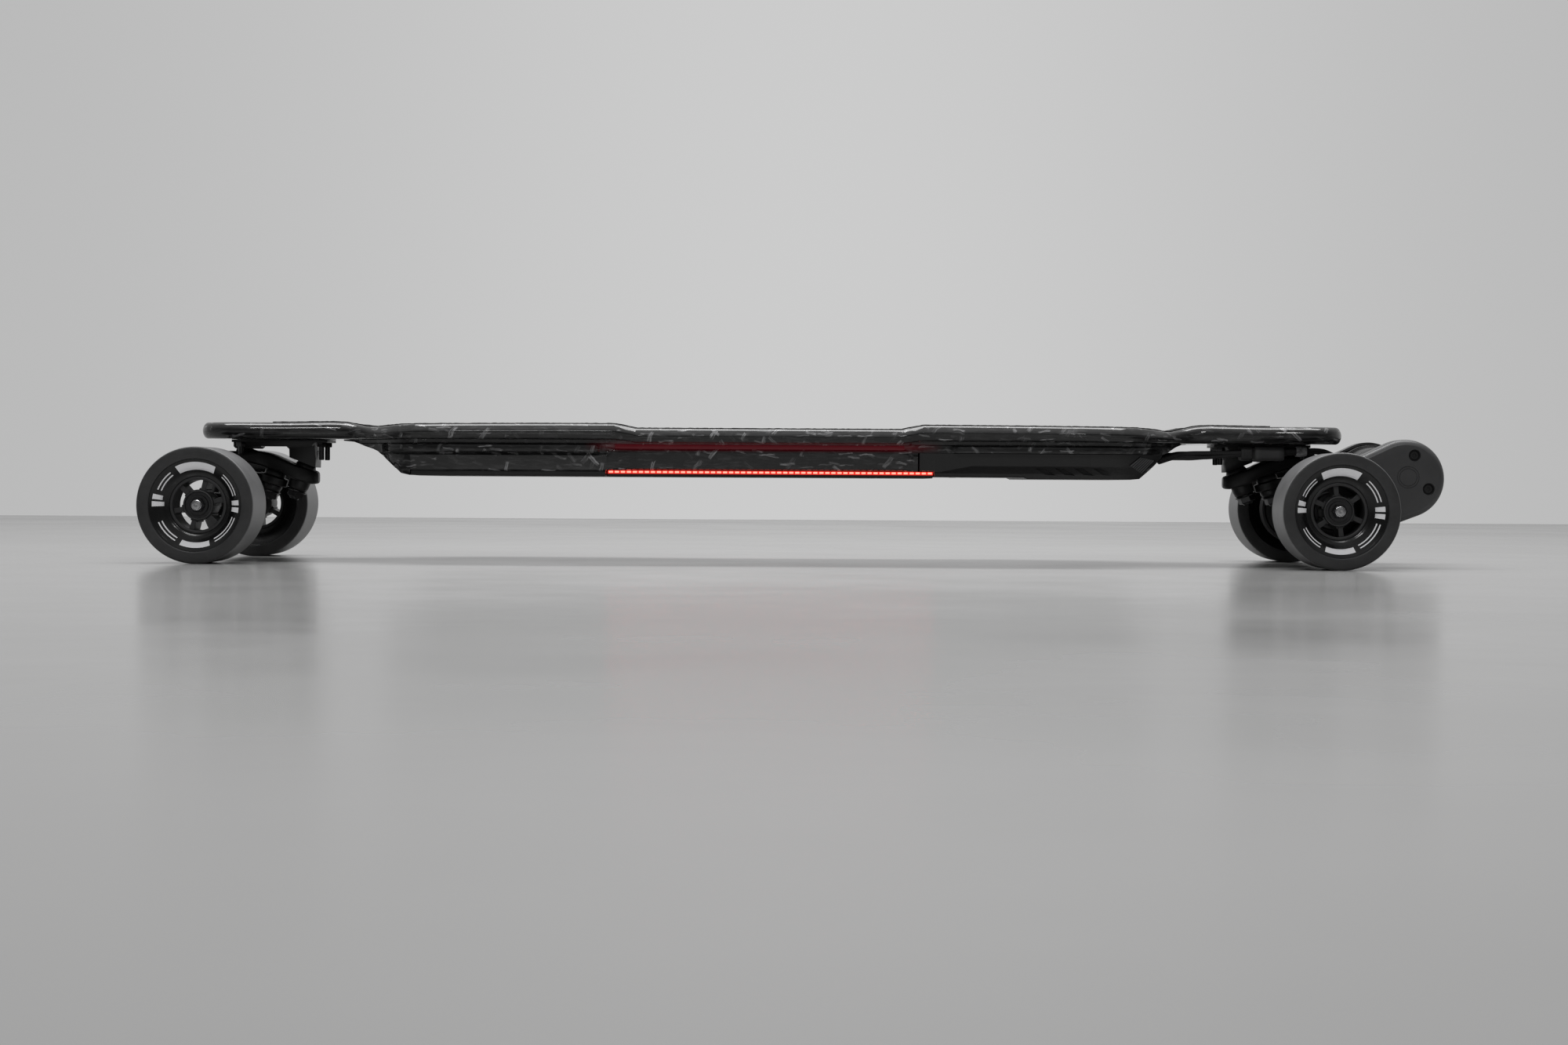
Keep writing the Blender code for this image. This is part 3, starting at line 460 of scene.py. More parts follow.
def curve(table, x):
    """Smooth value from [(x, value), ...] that never overshoots its points."""
    if x <= table[0][0]:
        return table[0][1]
    if x >= table[-1][0]:
        return table[-1][1]
    slopes = [(b[1] - a[1]) / (b[0] - a[0]) for a, b in zip(table, table[1:])]
    tangents = [slopes[0]]
    for before, after in zip(slopes, slopes[1:]):
        flat = before * after <= 0
        tangents.append(0.0 if flat else 2 * before * after / (before + after))
    tangents.append(slopes[-1])
    for i, ((x0, v0), (x1, v1)) in enumerate(zip(table, table[1:])):
        if x <= x1:
            h = x1 - x0
            t = (x - x0) / h
            a = 2 * t**3 - 3 * t**2 + 1
            b = t**3 - 2 * t**2 + t
            c = 3 * t**2 - 2 * t**3
            d = t**3 - t**2
            return a * v0 + b * h * tangents[i] + c * v1 + d * h * tangents[i + 1]
    return table[-1][1]


def finish_mesh(obj, slot, bevel=0.0, sharp=32.0):
    obj.data.materials.clear()
    obj.data.materials.append(MATERIAL[slot])
    if bevel:
        step = obj.modifiers.new("bevel", "BEVEL")
        step.width = bevel * MM
        step.segments = 2
        step.limit_method = "ANGLE"
        step.angle_limit = math.radians(28)
        step.harden_normals = True
    obj.data.shade_smooth()
    obj.data.set_sharp_from_angle(angle=math.radians(sharp))
    return obj


def solid(name, verts, faces, slot, origin=(0, 0, 0), **look):
    """A mesh from points in millimetres, with its origin at the given point."""
    mesh = bpy.data.meshes.new(name)
    o = Vector(origin)
    mesh.from_pydata([(Vector(v) - o) * MM for v in verts], [], faces)
    bm = bmesh.new()
    bm.from_mesh(mesh)
    bmesh.ops.recalc_face_normals(bm, faces=bm.faces)
    bm.to_mesh(mesh)
    bm.free()
    obj = bpy.data.objects.new(name, mesh)
    obj.location = o * MM
    bpy.context.scene.collection.objects.link(obj)
    return finish_mesh(obj, slot, **look)


def strip_faces(a, b, count):
    """Faces between two closed rings of points that start at indices a and b."""
    faces = []
    for j in range(count):
        k = (j + 1) % count
        faces.append((a + j, a + k, b + k, b + j))
    return faces


def loft_data(rings):
    """A closed skin over rings of equal length, capped at both ends."""
    count = len(rings[0])
    verts = [tuple(p) for ring in rings for p in ring]
    faces = []
    for i in range(len(rings) - 1):
        faces += strip_faces(i * count, (i + 1) * count, count)
    faces.append(tuple(range(count - 1, -1, -1)))
    last = (len(rings) - 1) * count
    faces.append(tuple(range(last, last + count)))
    return verts, faces


def loft(name, rings, slot, **look):
    verts, faces = loft_data(rings)
    return solid(name, verts, faces, slot, **look)


def frame_about(axis):
    along = Vector(axis).normalized()
    side = Vector((1, 0, 0)) if abs(along.y) > 0.9 else along.orthogonal().normalized()
    return along, side, along.cross(side)


def turned_data(profile, centre, axis, segments):
    along, side, other = frame_about(axis)
    rings = []
    for i in range(segments):
        turn = 2 * math.pi * i / segments
        out = side * math.cos(turn) + other * math.sin(turn)
        rings.append([Vector(centre) + along * t + out * r for t, r in profile])
    count = len(profile)
    verts = [tuple(p) for ring in rings for p in ring]
    faces = []
    for i in range(segments):
        faces += strip_faces(i * count, ((i + 1) % segments) * count, count)
    return verts, faces


def turned(name, profile, centre, axis, slot, segments=64, **look):
    verts, faces = turned_data(profile, centre, axis, segments)
    return solid(name, verts, faces, slot, **look)


def joined(name, parts, slot, **look):
    """Several closed shells of (vertices, faces) in one mesh."""
    verts, faces = [], []
    for part_verts, part_faces in parts:
        start = len(verts)
        verts += part_verts
        faces += [tuple(start + i for i in face) for face in part_faces]
    return solid(name, verts, faces, slot, **look)


def prism_data(outline, y0, y1):
    return loft_data([[(x, y, z) for x, z in outline] for y in (y0, y1)])


def prism(name, outline, y0, y1, slot, **look):
    verts, faces = prism_data(outline, y0, y1)
    return solid(name, verts, faces, slot, **look)


def on_side(side, profile):
    """A turning profile moved to one side of the board."""
    return [(side * y, r) for y, r in profile]


def arc(cx, cz, r, start, end, steps):
    points = []
    for i in range(steps + 1):
        turn = math.radians(start + (end - start) * i / steps)
        points.append((cx + r * math.cos(turn), cz + r * math.sin(turn)))
    return points


def belt_loop(c0, r0, c1, r1, steps):
    dx, dz = c1[0] - c0[0], c1[1] - c0[1]
    gap = math.hypot(dx, dz)
    heading = math.degrees(math.atan2(dz, dx))
    spread = math.degrees(math.acos((r0 - r1) / gap))
    far = arc(c1[0], c1[1], r1, heading - spread, heading + spread, steps)
    near = arc(c0[0], c0[1], r0, heading + spread, heading + 360 - spread, steps * 2)
    return far + near


def fastener_data(centre, axis, radius, height, recess, sides=6):
    """A nut, or a round screw head when sides is 0: chamfered, with a sunk hexagon."""
    along, side, other = frame_about(axis)
    levels = [(0.0, radius), (height * 0.82, radius), (height, radius * 0.9), (height, recess),
        (height * 0.45, recess)]
    rings = []
    for t, r in levels:
        hexagonal = sides or r <= recess + 0.001
        ring = []
        for i in range(24):
            turn = 2 * math.pi * i / 24
            part = (turn % (2 * math.pi / 6)) - math.pi / 6
            reach = r * math.cos(math.pi / 6) / math.cos(part) if hexagonal else r
            ring.append(Vector(centre) + along * t + (side * math.cos(turn) + other * math.sin(turn)) * reach)
        rings.append(ring)
    return loft_data(rings)


def add(piece, body, slot, *nodes):
    """Hands a piece over to a body of the frame."""
    if nodes:
        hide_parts(*nodes)
    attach(piece, body)
    return piece


def keep(node, look, bevel=0.0, sharp=32.0):
    """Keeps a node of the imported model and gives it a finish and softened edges."""
    obj = frame["nodes"][node]
    weld = obj.modifiers.new("weld", "WELD")
    weld.merge_threshold = 0.00001
    finish_mesh(obj, look, bevel, sharp)
    return obj


# ---------------------------------------------------------------- deck
WIDTH = [(0, 114), (110.6, 114), (111.6, 114.4), (127.4, 121.6), (128.6, 122), (200, 122), (262, 121),
    (290, 116), (306, 108), (320, 97), (332, 84), (346, 71), (358, 63.5), (368, 62), (380, 62.3), (416, 65),
    (440, 66), (492, 66)]


def deck_half_width(s):
    a = abs(s)
    width = curve(WIDTH, a)
    corner = 34.0
    into = min(corner, a - (DECK_HALF_LENGTH - corner))
    if into > 0:
        width -= corner * (1 - math.sqrt(max(0.0, 1 - (into / corner) ** 2)))
    return max(width, 22.0)


def deck_top(s):
    crest = 120.5 if s > 0 else 119.8
    end = 119.7 if s > 0 else 119.0
    neck = 114.6 if s > 0 else 115.3
    table = [(0, 114.5), (110.4, 114.5), (111.6, 114.8), (127.6, 117.8), (129, 118.0), (290, 117.2),
        (306, 117.0), (322, 116.1), (338, neck), (352, 117.6), (364, crest - 0.5), (374, crest),
        (388, crest - 0.2), (424, end), (492, end)]
    return curve(table, abs(s))


def deck_underside(s):
    return curve([(0, DECK_UNDERSIDE_Z), (350, DECK_UNDERSIDE_Z), (366, 105.0)], abs(s))


def deck_rim_low(s):
    return curve([(0, 102.0), (110.6, 102.0), (112, 102.3), (126, 104.3), (129, 104.6), (340, 104.9),
        (366, 105.0)], abs(s))


def deck_hollow(s):
    return curve([(0, 5.0), (290, 5.0), (325, 2.6), (345, 1.4), (370, 0.6), (492, 0.6)], abs(s))


def deck_surface(s, share):
    rise = max(0.0, (abs(share) - 0.45) / 0.47)
    return deck_top(s) - deck_hollow(s) * (1 - min(1.0, rise) ** 1.6)


def rim_points(w, top, under, roundness):
    """The deck's edge from its upper inner line to its lower inner line."""
    middle = (top + under) / 2
    half = (top - under) / 2
    pill = []
    for i in range(15):
        turn = math.radians(90 - 180 * i / 14)
        pill.append((w - 7.5 + 7.5 * math.cos(turn), middle + half * math.sin(turn)))
    crease = top - 6.3
    facets = [(w - 7.6, top), (w - 5.9, top - 0.08), (w - 5.0, top - 0.3), (w - 4.3, top - 0.75),
        (w - 3.3, top - 1.9), (w - 1.7, top - 3.9), (w - 0.3, crease + 0.6), (w, crease),
        (w - 0.1, crease - 0.6), (w - 0.9, crease - 2.6), (w - 1.8, under + 2.4), (w - 2.3, under + 1.3),
        (w - 3.3, under + 0.4), (w - 5.2, under + 0.05), (w - 8.6, under)]
    mixed = []
    for a, b in zip(facets, pill):
        mixed.append((a[0] + (b[0] - a[0]) * roundness, a[1] + (b[1] - a[1]) * roundness))
    return mixed


def deck_ring(s):
    w, top, under, low = deck_half_width(s), deck_top(s), deck_underside(s), deck_rim_low(s)
    x = DECK_MID_X + s
    roundness = curve([(0, 0.1), (300, 0.1), (352, 0.8), (372, 1.0)], abs(s))
    tip = max(0.0, (abs(s) - DECK_HALF_LENGTH + 7.5) / 7.5)
    squeeze = 1 - math.sqrt(max(0.0, 1 - min(1.0, tip) ** 2)) if tip > 0 else 0.0
    middle = (top + under) / 2
    shares = [0.0, 0.2, 0.4, 0.5, 0.6, 0.7, 0.8, 0.87]
    right = [(share * w, deck_surface(s, share)) for share in shares if share * w < w - 8.4]
    while len(right) < len(shares):
        right.append((right[-1][0] * 0.5 + (w - 8.0) * 0.5, top - 0.02))
    right += rim_points(w, top, low, roundness)
    right += [(w - 10.6, under), (w * 0.7 - 2, under), (w * 0.35, under), (0.0, under)]
    right = [(y, z + (middle - z) * squeeze) for y, z in right]
    ring = [(x, y, z) for y, z in right]
    ring += [(x, -y, z) for y, z in reversed(right[1:-1])]
    return ring


def deck_stations():
    marks = [0, 40, 80, 100, 106, 109, 110.4, 111, 111.6, 113]
    marks += [115 + 2.0 * i for i in range(6)]
    marks += [127, 127.6, 128.2, 129, 131, 134]
    marks += [140 + 12 * i for i in range(12)]
    marks += [280 + 4 * i for i in range(33)]
    marks += [412 + 8 * i for i in range(5)]
    marks += [450 + 3.0 * i for i in range(12)]
    marks += [484.5, 486, 487.5, 488.7, 489.7, 490.5, 491.0, 491.3, 491.45]
    return [-s for s in reversed(marks[1:])] + marks


def build_deck():
    rings = [deck_ring(s) for s in deck_stations()]
    deck = loft("deck_carbon", rings, "carbon", sharp=50)
    add(deck, "deck", "carbon", "deck_shell")

    start, end = -426.0, 426.0
    random.seed(7)
    inside = [s for s in deck_stations() if start + 1 < s < end - 1]
    finer = []
    for a, b in zip([start] + inside, inside + [end]):
        steps = max(1, int((b - a) / 2.0))
        finer += [a + (b - a) * i / steps for i in range(steps)]
    shares = [-0.92, -0.86, -0.8, -0.7, -0.6, -0.5, -0.4, -0.2, 0.0, 0.2, 0.4, 0.5, 0.6, 0.7, 0.8, 0.86, 0.92]
    rings = []
    for s in finer + [end]:
        w = deck_half_width(s)
        x = DECK_MID_X + s
        edge = 1 + random.uniform(-0.004, 0.004)
        limit = (w - 7.4) / w
        lower, upper = [], []
        for share in shares:
            place = max(-limit, min(limit, share)) * (edge if abs(share) > 0.9 else 1)
            z = deck_surface(s, place)
            lower.append((x, place * w, z - 0.3))
            upper.append((x, place * w, z + 0.75 + random.uniform(-0.12, 0.16)))
        rings.append(lower + upper[::-1])
    tape = loft("grip_sheet", rings, "grip", sharp=60)
    add(tape, "deck", "grip", "grip_tape")


# ---------------------------------------------------------------- hull and covers
def hull_half_width(x):
    return deck_half_width(x - DECK_MID_X) - 12.0


def hull_floor(x):
    front = [(-392, 103.8), (-381, 102.8), (-375.5, 101.0), (-370, 98.9), (-362, 96.6), (-357, 94.5),
        (-334.5, 76.2), (-326, 74.5), (-325.6, HULL_BOTTOM_Z), (-160.2, HULL_BOTTOM_Z),
        (-159.6, LED_ROOF_Z)]
    if x < 0:
        return lerp(front, x)
    rear = [(100.9, LED_ROOF_Z), (101.1, 94.9), (309.5, 94.9), (314.35, 96.6), (321.9, 101.4), (328, 103.9),
        (332, 104.1)]
    return lerp(rear, x)


PLATFORM_SIDE = [(0, 104.7), (-0.5, 101.9), (1.5, 101.3), (3.7, 100.9), (4.7, 100.1), (5, 98.9), (5, 96.2),
    (4.7, 95.0), (3.8, 94.2), (1.4, 93.7), (-0.6, 93.4), (-1.2, 92.9), (-0.8, 92.2), (-0.5, 91.6),
    (-3.3, 80.2), (-3.5, 79.7), (-4.0, 79.1), (-5.2, 73.0)]
WAIST_SIDE = [(0, 104.7), (-0.5, 102.4), (-0.8, 101.6), (-2.6, 101.3), (-3.2, 100.8), (-3.3, 100.0),
    (-3.3, 98.4), (-3.2, 97.6), (-2.8, 97.1), (-1.3, 96.8), (-0.6, 96.5), (-0.3, 96.0), (-0.2, 95.2),
    (-0.3, 93.5), (-2.8, 81.9), (-3.0, 81.2), (-3.6, 80.5), (-5.2, 73.0)]


def hull_side(x):
    """Points down the hull's side at a station: a bead along the platforms, a lit recess along the waist."""
    w = hull_half_width(x)
    plain = curve([(-352, 0), (-343, 1), (-168, 1), (-163, 0), (128, 0), (134.5, 1), (292, 1), (303, 0)], x)
    waist = curve([(-160, 0), (-150, 1), (88, 1), (97, 0)], x)
    side = []
    for (grow, high), (sunk, level) in zip(PLATFORM_SIDE, WAIST_SIDE):
        grow = grow * plain if grow > 0 else grow
        side.append((w + grow + (sunk - grow) * waist, high + (level - high) * waist))
    return side


def hull_ring(x):
    roof = 104.7
    low = hull_floor(x)
    right = []
    side = hull_side(x)
    for i, (y, z) in enumerate(side):
        lowest = low + 0.03 * (len(side) - 1 - i)
        right.append((x, y, min(roof - 0.02 * i, max(z, lowest))))
    return right + [(px, -y, z) for px, y, z in reversed(right)]


def build_hull():
    xs = [-390, -386, -381, -378, -375.5, -373, -370, -366, -362, -359, -357]
    xs += [-355 + 2.2 * i for i in range(10)]
    xs += [-334.5, -332, -330, -328, -326, -325.6, -322, -315]
    xs += [-309 + 7.0 * i for i in range(21)]
    xs += [-168 + 1.0 * i for i in range(8)]
    xs += [-160.2, -159.6] + [-158.5 + 1.5 * i for i in range(18)]
    xs += [-120, -80, -40, 0, 40, 70, 84, 86] + [87.5 + 1.5 * i for i in range(9)]
    xs += [100.9, 101.1, 102.5, 104, 105.5]
    xs += [110, 120, 127, 128.5, 130, 131.5, 133, 134.5, 138, 150, 170, 200, 230, 250]
    xs += [256 + 3.8 * i for i in range(15)]
    xs += [311.5, 314.35, 317, 319.5, 321.9, 325, 328, 332]
    hull = loft("hull_carbon", [hull_ring(x) for x in sorted(xs)], "carbon", sharp=34)
    add(hull, "deck", "carbon", "battery_hull", "battery_pack", "motor_controller")

    for side, name in ((-1, "left"), (1, "right")):
        rings = []
        for x in [-152 + 4 * i for i in range(62)]:
            w = hull_half_width(x) - 3.3
            ring = [(w - 1.2, 97.5), (w + 0.15, 97.5), (w + 0.3, 98.0), (w + 0.3, 100.7), (w + 0.15, 101.2),
                (w - 1.2, 101.2)]
            rings.append([(x, side * y, z) for y, z in ring])
        add(loft("recess_light_" + name, rings, "recess_light"), "deck", "led")

    rings = []
    for x in [-325.2, -323, -318, -310, -280, -200, -165, -160.5, -159.5, -140, -60, 0, 60, 100, 113.8]:
        w = hull_half_width(x) - 5.4 if x < -160 else LED_SIDE_Y - 8.4
        low = lerp([(-325.2, 74.7), (-320, 74.1)], x)
        section = [(w, 78.3), (w, 75.5), (w - 0.5, 74.7), (w - 2.0, low + 0.1), (w - 3.5, low)]
        rings.append([(x, y, z) for y, z in section] + [(x, -y, z) for y, z in reversed(section)])
    plate = loft("hull_cover_plate", rings, "cover_black", bevel=0.2)
    for y, r in ((BUTTON_Y, 7.55), (-BUTTON_Y, 7.35)):
        carve(plate, turned("well_%d" % y, [(70.0, 0.02), (70.0, r), (77.6, r), (77.6, 0.02)],
            (BUTTON_X, y, 0), UP, "cover_black", 64))
    add(plate, "deck", "cover_black", "bottom_cover")

    parts = []
    for x in (-314, -262, -190, -118, -46, 26, 92):
        for side in (-1, 1):
            y = side * (hull_half_width(x) - 17.0)
            parts.append(fastener_data((x, y, 74.3), DOWN, 3.2, 0.09, 1.5, 0))
    for x in (140, 205, 262):
        for side in (-1, 1):
            low = 75.2 if x < 190 else 73.8
            parts.append(fastener_data((x, side * (hull_half_width(x) - 20.0), low + 0.5), DOWN, 3.2, 0.55,
                1.5, 0))
    screws = joined("cover_screws", parts, "dark_steel", sharp=30)
    add(screws, "deck", "steel")


def rear_cover_low(x):
    return lerp([(102, 84), (102.6, 80.1), (114.2, 80.0), (114.8, 75.4), (190, 75.2), (193, 73.8),
        (280, 73.8), (288.5, 74.5), (298.6, 82.5), (307.6, 91.8), (309.4, 94.2)], x)


def rear_cover_side(x):
    """Points down the controller housing's side: wall, ledge, sloping lower tier, foot."""
    w = hull_half_width(x) + 1.0
    tier = lerp([(118, 0), (146, 1)], x)
    return [(w - 0.4, 95.2), (w, 94.7), (w - 0.1, 94.2), (w - 2.1, 84.6 - 5.2 * (1 - tier)),
        (w - 2.6, 84.0 - 5.2 * (1 - tier)), (w - 3.2, 83.6 - 5.2 * (1 - tier)),
        (w - 4.4 - 4.4 * tier, 78.6), (w - 4.9 - 4.5 * tier, 77.8), (w - 5.2 - 4.6 * tier, 76.2),
        (w - 6.4 - 4.4 * tier, 70.0)]


def rear_cover_ring(x):
    low = rear_cover_low(x)
    side = rear_cover_side(x)
    right = []
    for i, (y, z) in enumerate(side):
        right.append((y, max(z, low + 0.04 * (len(side) - 1 - i))))
    return [(x, y, z) for y, z in right] + [(x, -y, z) for y, z in reversed(right)]


def rear_cover_reach(x, z):
    """Half-width of the controller housing at a height."""
    side = rear_cover_side(x)
    return lerp([(h, y) for y, h in reversed(side)], z)


def build_rear_cover():
    xs = [102.2, 102.6, 106, 110, 114.2, 114.8, 118, 122, 128, 134, 140, 146, 160, 175, 190, 193, 210, 230,
        245, 256, 264, 270, 276, 280, 284, 288.5, 292, 295, 298.6, 302, 305, 307.6, 308.6, 309.4]
    cover = loft("controller_housing", [rear_cover_ring(x) for x in xs], "cover_black", bevel=0.25)
    ribs = []
    for side in (-1, 1):
        corners = [(278.0, 86.0), (290.9, 78.6), (302.2, 90.4), (287.6, 93.6)]
        pocket = []
        for x, z in corners:
            y = rear_cover_reach(x, z) - 1.3
            pocket.append(((x, side * y, z), (x, side * (y + 9), z)))
        carve(cover, loft("fin_pocket_%d" % side, [[a for a, b in pocket], [b for a, b in pocket]],
            "cover_black"))
        for i in range(7):
            t = (i + 0.5) / 7
            start = (278.6 + 12.0 * t, 85.6 - 6.8 * t)
            finish = (288.2 + 13.4 * t, 93.0 - 2.9 * t)
            rings = []
            for x, z in (start, finish):
                y = rear_cover_reach(x, z) - 0.1
                rings.append([(x - 0.42, side * (y - 2.0), z + 0.42), (x - 0.42, side * y, z + 0.42),
                    (x + 0.42, side * y, z - 0.42), (x + 0.42, side * (y - 2.0), z - 0.42)])
            ribs.append(loft_data(rings))
        for i in range(4):
            x = 199.4 + 16.2 * i
            y = side * (hull_half_width(x) - 12.0)
            slot = [(x - 0.6, 83.0), (x + 6.6, 82.8), (x + 17.2, 77.0), (x + 8.2, 77.7)]
            carve(cover, prism("slot_cut_%d_%d" % (side + 1, i), slot, y, y + side * 18, "cover_black"))
    add(joined("cooling_ribs", ribs, "rib_grey", sharp=30), "deck", "cover_black")
    add(cover, "deck", "cover_black", "controller_cover")


def carve(target, tool):
    step = target.modifiers.new("carve", "BOOLEAN")
    step.operation = "DIFFERENCE"
    step.solver = "EXACT"
    step.object = tool
    CUTTERS.append(tool)


def apply_cutters():
    """Turns every piece cut by a tool into a plain mesh, then removes the tools."""
    for obj in list(bpy.data.objects):
        if obj.type == "MESH" and any(m.type == "BOOLEAN" for m in obj.modifiers):
            bevels = [(m.width, m.segments, m.angle_limit) for m in obj.modifiers if m.type == "BEVEL"]
            for m in [m for m in obj.modifiers if m.type == "BEVEL"]:
                obj.modifiers.remove(m)
            bpy.context.view_layer.update()
            graph = bpy.context.evaluated_depsgraph_get()
            mesh = bpy.data.meshes.new_from_object(obj.evaluated_get(graph))
            obj.modifiers.clear()
            obj.data = mesh
            for width, segments, limit in bevels:
                step = obj.modifiers.new("bevel", "BEVEL")
                step.width, step.segments, step.angle_limit = width, segments, limit
                step.limit_method = "ANGLE"
                step.harden_normals = True
            obj.data.shade_smooth()
            obj.data.set_sharp_from_angle(angle=math.radians(32))
    for tool in CUTTERS:
        bpy.data.objects.remove(tool)
    CUTTERS.clear()


def build_led():
    for side, name in ((-1, "left"), (1, "right")):
        low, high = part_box("led_strip_" + name)
        x0, x1 = low.x / MM + 0.1, high.x / MM - 0.1
        y = side * (max(abs(low.y), abs(high.y)) / MM)
        section = [(y - side * 0.3, 76.6), (y - side * 0.3, 79.4), (y - side * 3.2, 79.4),
            (y - side * 3.2, 76.6)]
        strip = loft("led_lens_" + name, [[(x, py, pz) for py, pz in section] for x in (x0, x1)],
            "led_lens", bevel=0.2)
        add(strip, "deck", "led", "led_strip_" + name)
        parts = []
        for i in range(54):
            x = x0 + 2.6 + 5.05 * i
            outline = [(x - 1.8, 77.7), (x - 1.4, 77.4), (x + 1.4, 77.4), (x + 1.8, 77.7), (x + 1.8, 78.6),
                (x + 1.4, 78.9), (x - 1.4, 78.9), (x - 1.8, 78.6)]
            parts.append(prism_data(outline, y - side * 0.6, y))
        dots = joined("led_dots_" + name, parts, "led")
        add(dots, "deck", "led")


def build_button():
    """The button in its bezel, and the charge socket on the other side of the middle line."""
    place = (BUTTON_X, BUTTON_Y, PLATE_FACE_Z)
    socket_place = (BUTTON_X, -BUTTON_Y, PLATE_FACE_Z)
    profile = [(0.35, 0.02), (0.35, 2.2), (0.2, 3.4), (0.0, 4.0), (0.0, 4.6), (0.15, 5.3), (0.6, 5.8),
        (3.2, 5.8), (3.2, 0.02)]
    button = turned("power_button_cap", profile, place, UP, "button", 48)
    add(button, "power_button", "button", "power_button")
    profile = [(0.05, 6.0), (0.0, 6.3), (0.0, 7.3), (0.25, 7.6), (3.0, 7.6), (3.0, 6.0)]
    bezel = turned("power_button_bezel", profile, place, UP, "dark_steel", 64)
    add(bezel, "deck", "cover_black")
    ring = turned_data([(0.3, 4.6), (0.0, 5.0), (0.0, 7.0), (0.3, 7.4), (3.0, 7.4), (3.0, 4.6)],
        socket_place, UP, 64)
    pin = turned_data([(1.6, 0.02), (1.6, 0.9), (2.0, 1.1), (3.4, 1.1), (3.4, 0.02)], socket_place, UP, 32)
    socket = joined("charge_socket_ring", [ring, pin], "dark_steel", sharp=30)
    add(socket, "deck", "cover_black")


# ---------------------------------------------------------------- wiring
def soft_ring(corners, flat):
    """Points round a soft-cornered square of half-size 1; a lower flat gives squarer corners."""
    ring = []
    for k in range(corners):
        turn = 2 * math.pi * (k + 0.5) / corners
        ring.append(tuple(math.copysign(abs(v) ** flat, v) for v in (math.cos(turn), math.sin(turn))))
    return ring


def sweep_data(path, half_wide, half_tall, corners=20, flat=0.7):
    points = [Vector(p) for p in path]
    rings = []
    for i, p in enumerate(points):
        ahead = (points[min(i + 1, len(points) - 1)] - points[max(i - 1, 0)]).normalized()
        side = Vector((-ahead.y, ahead.x, 0)).normalized()
        up = ahead.cross(side)
        rings.append([p + side * (a * half_wide) + up * (b * half_tall) for a, b in soft_ring(corners, flat)])
    return loft_data(rings)


def smooth_path(points, steps):
    """A smooth route through the given points."""
    pts = [Vector(p) for p in points]
    pts = [pts[0] * 2 - pts[1]] + pts + [pts[-1] * 2 - pts[-2]]
    route = []
    for i in range(1, len(pts) - 2):
        a, b, c, d = pts[i - 1 : i + 3]
        for k in range(steps):
            t = k / steps
            route.append(0.5 * (2 * b + (c - a) * t + (2 * a - 5 * b + 4 * c - d) * t**2
                + (3 * b - a - 3 * c + d) * t**3))
    route.append(pts[-2])
    return route


def soft_box(stations, y, corners=28, flat=0.45):
    """A rounded block along X from (x, half width, half height, centre height)."""
    rings = []
    for x, wide, tall, middle in stations:
        rings.append([(x, y + a * wide, middle + b * tall) for a, b in soft_ring(corners, flat)])
    return loft_data(rings)


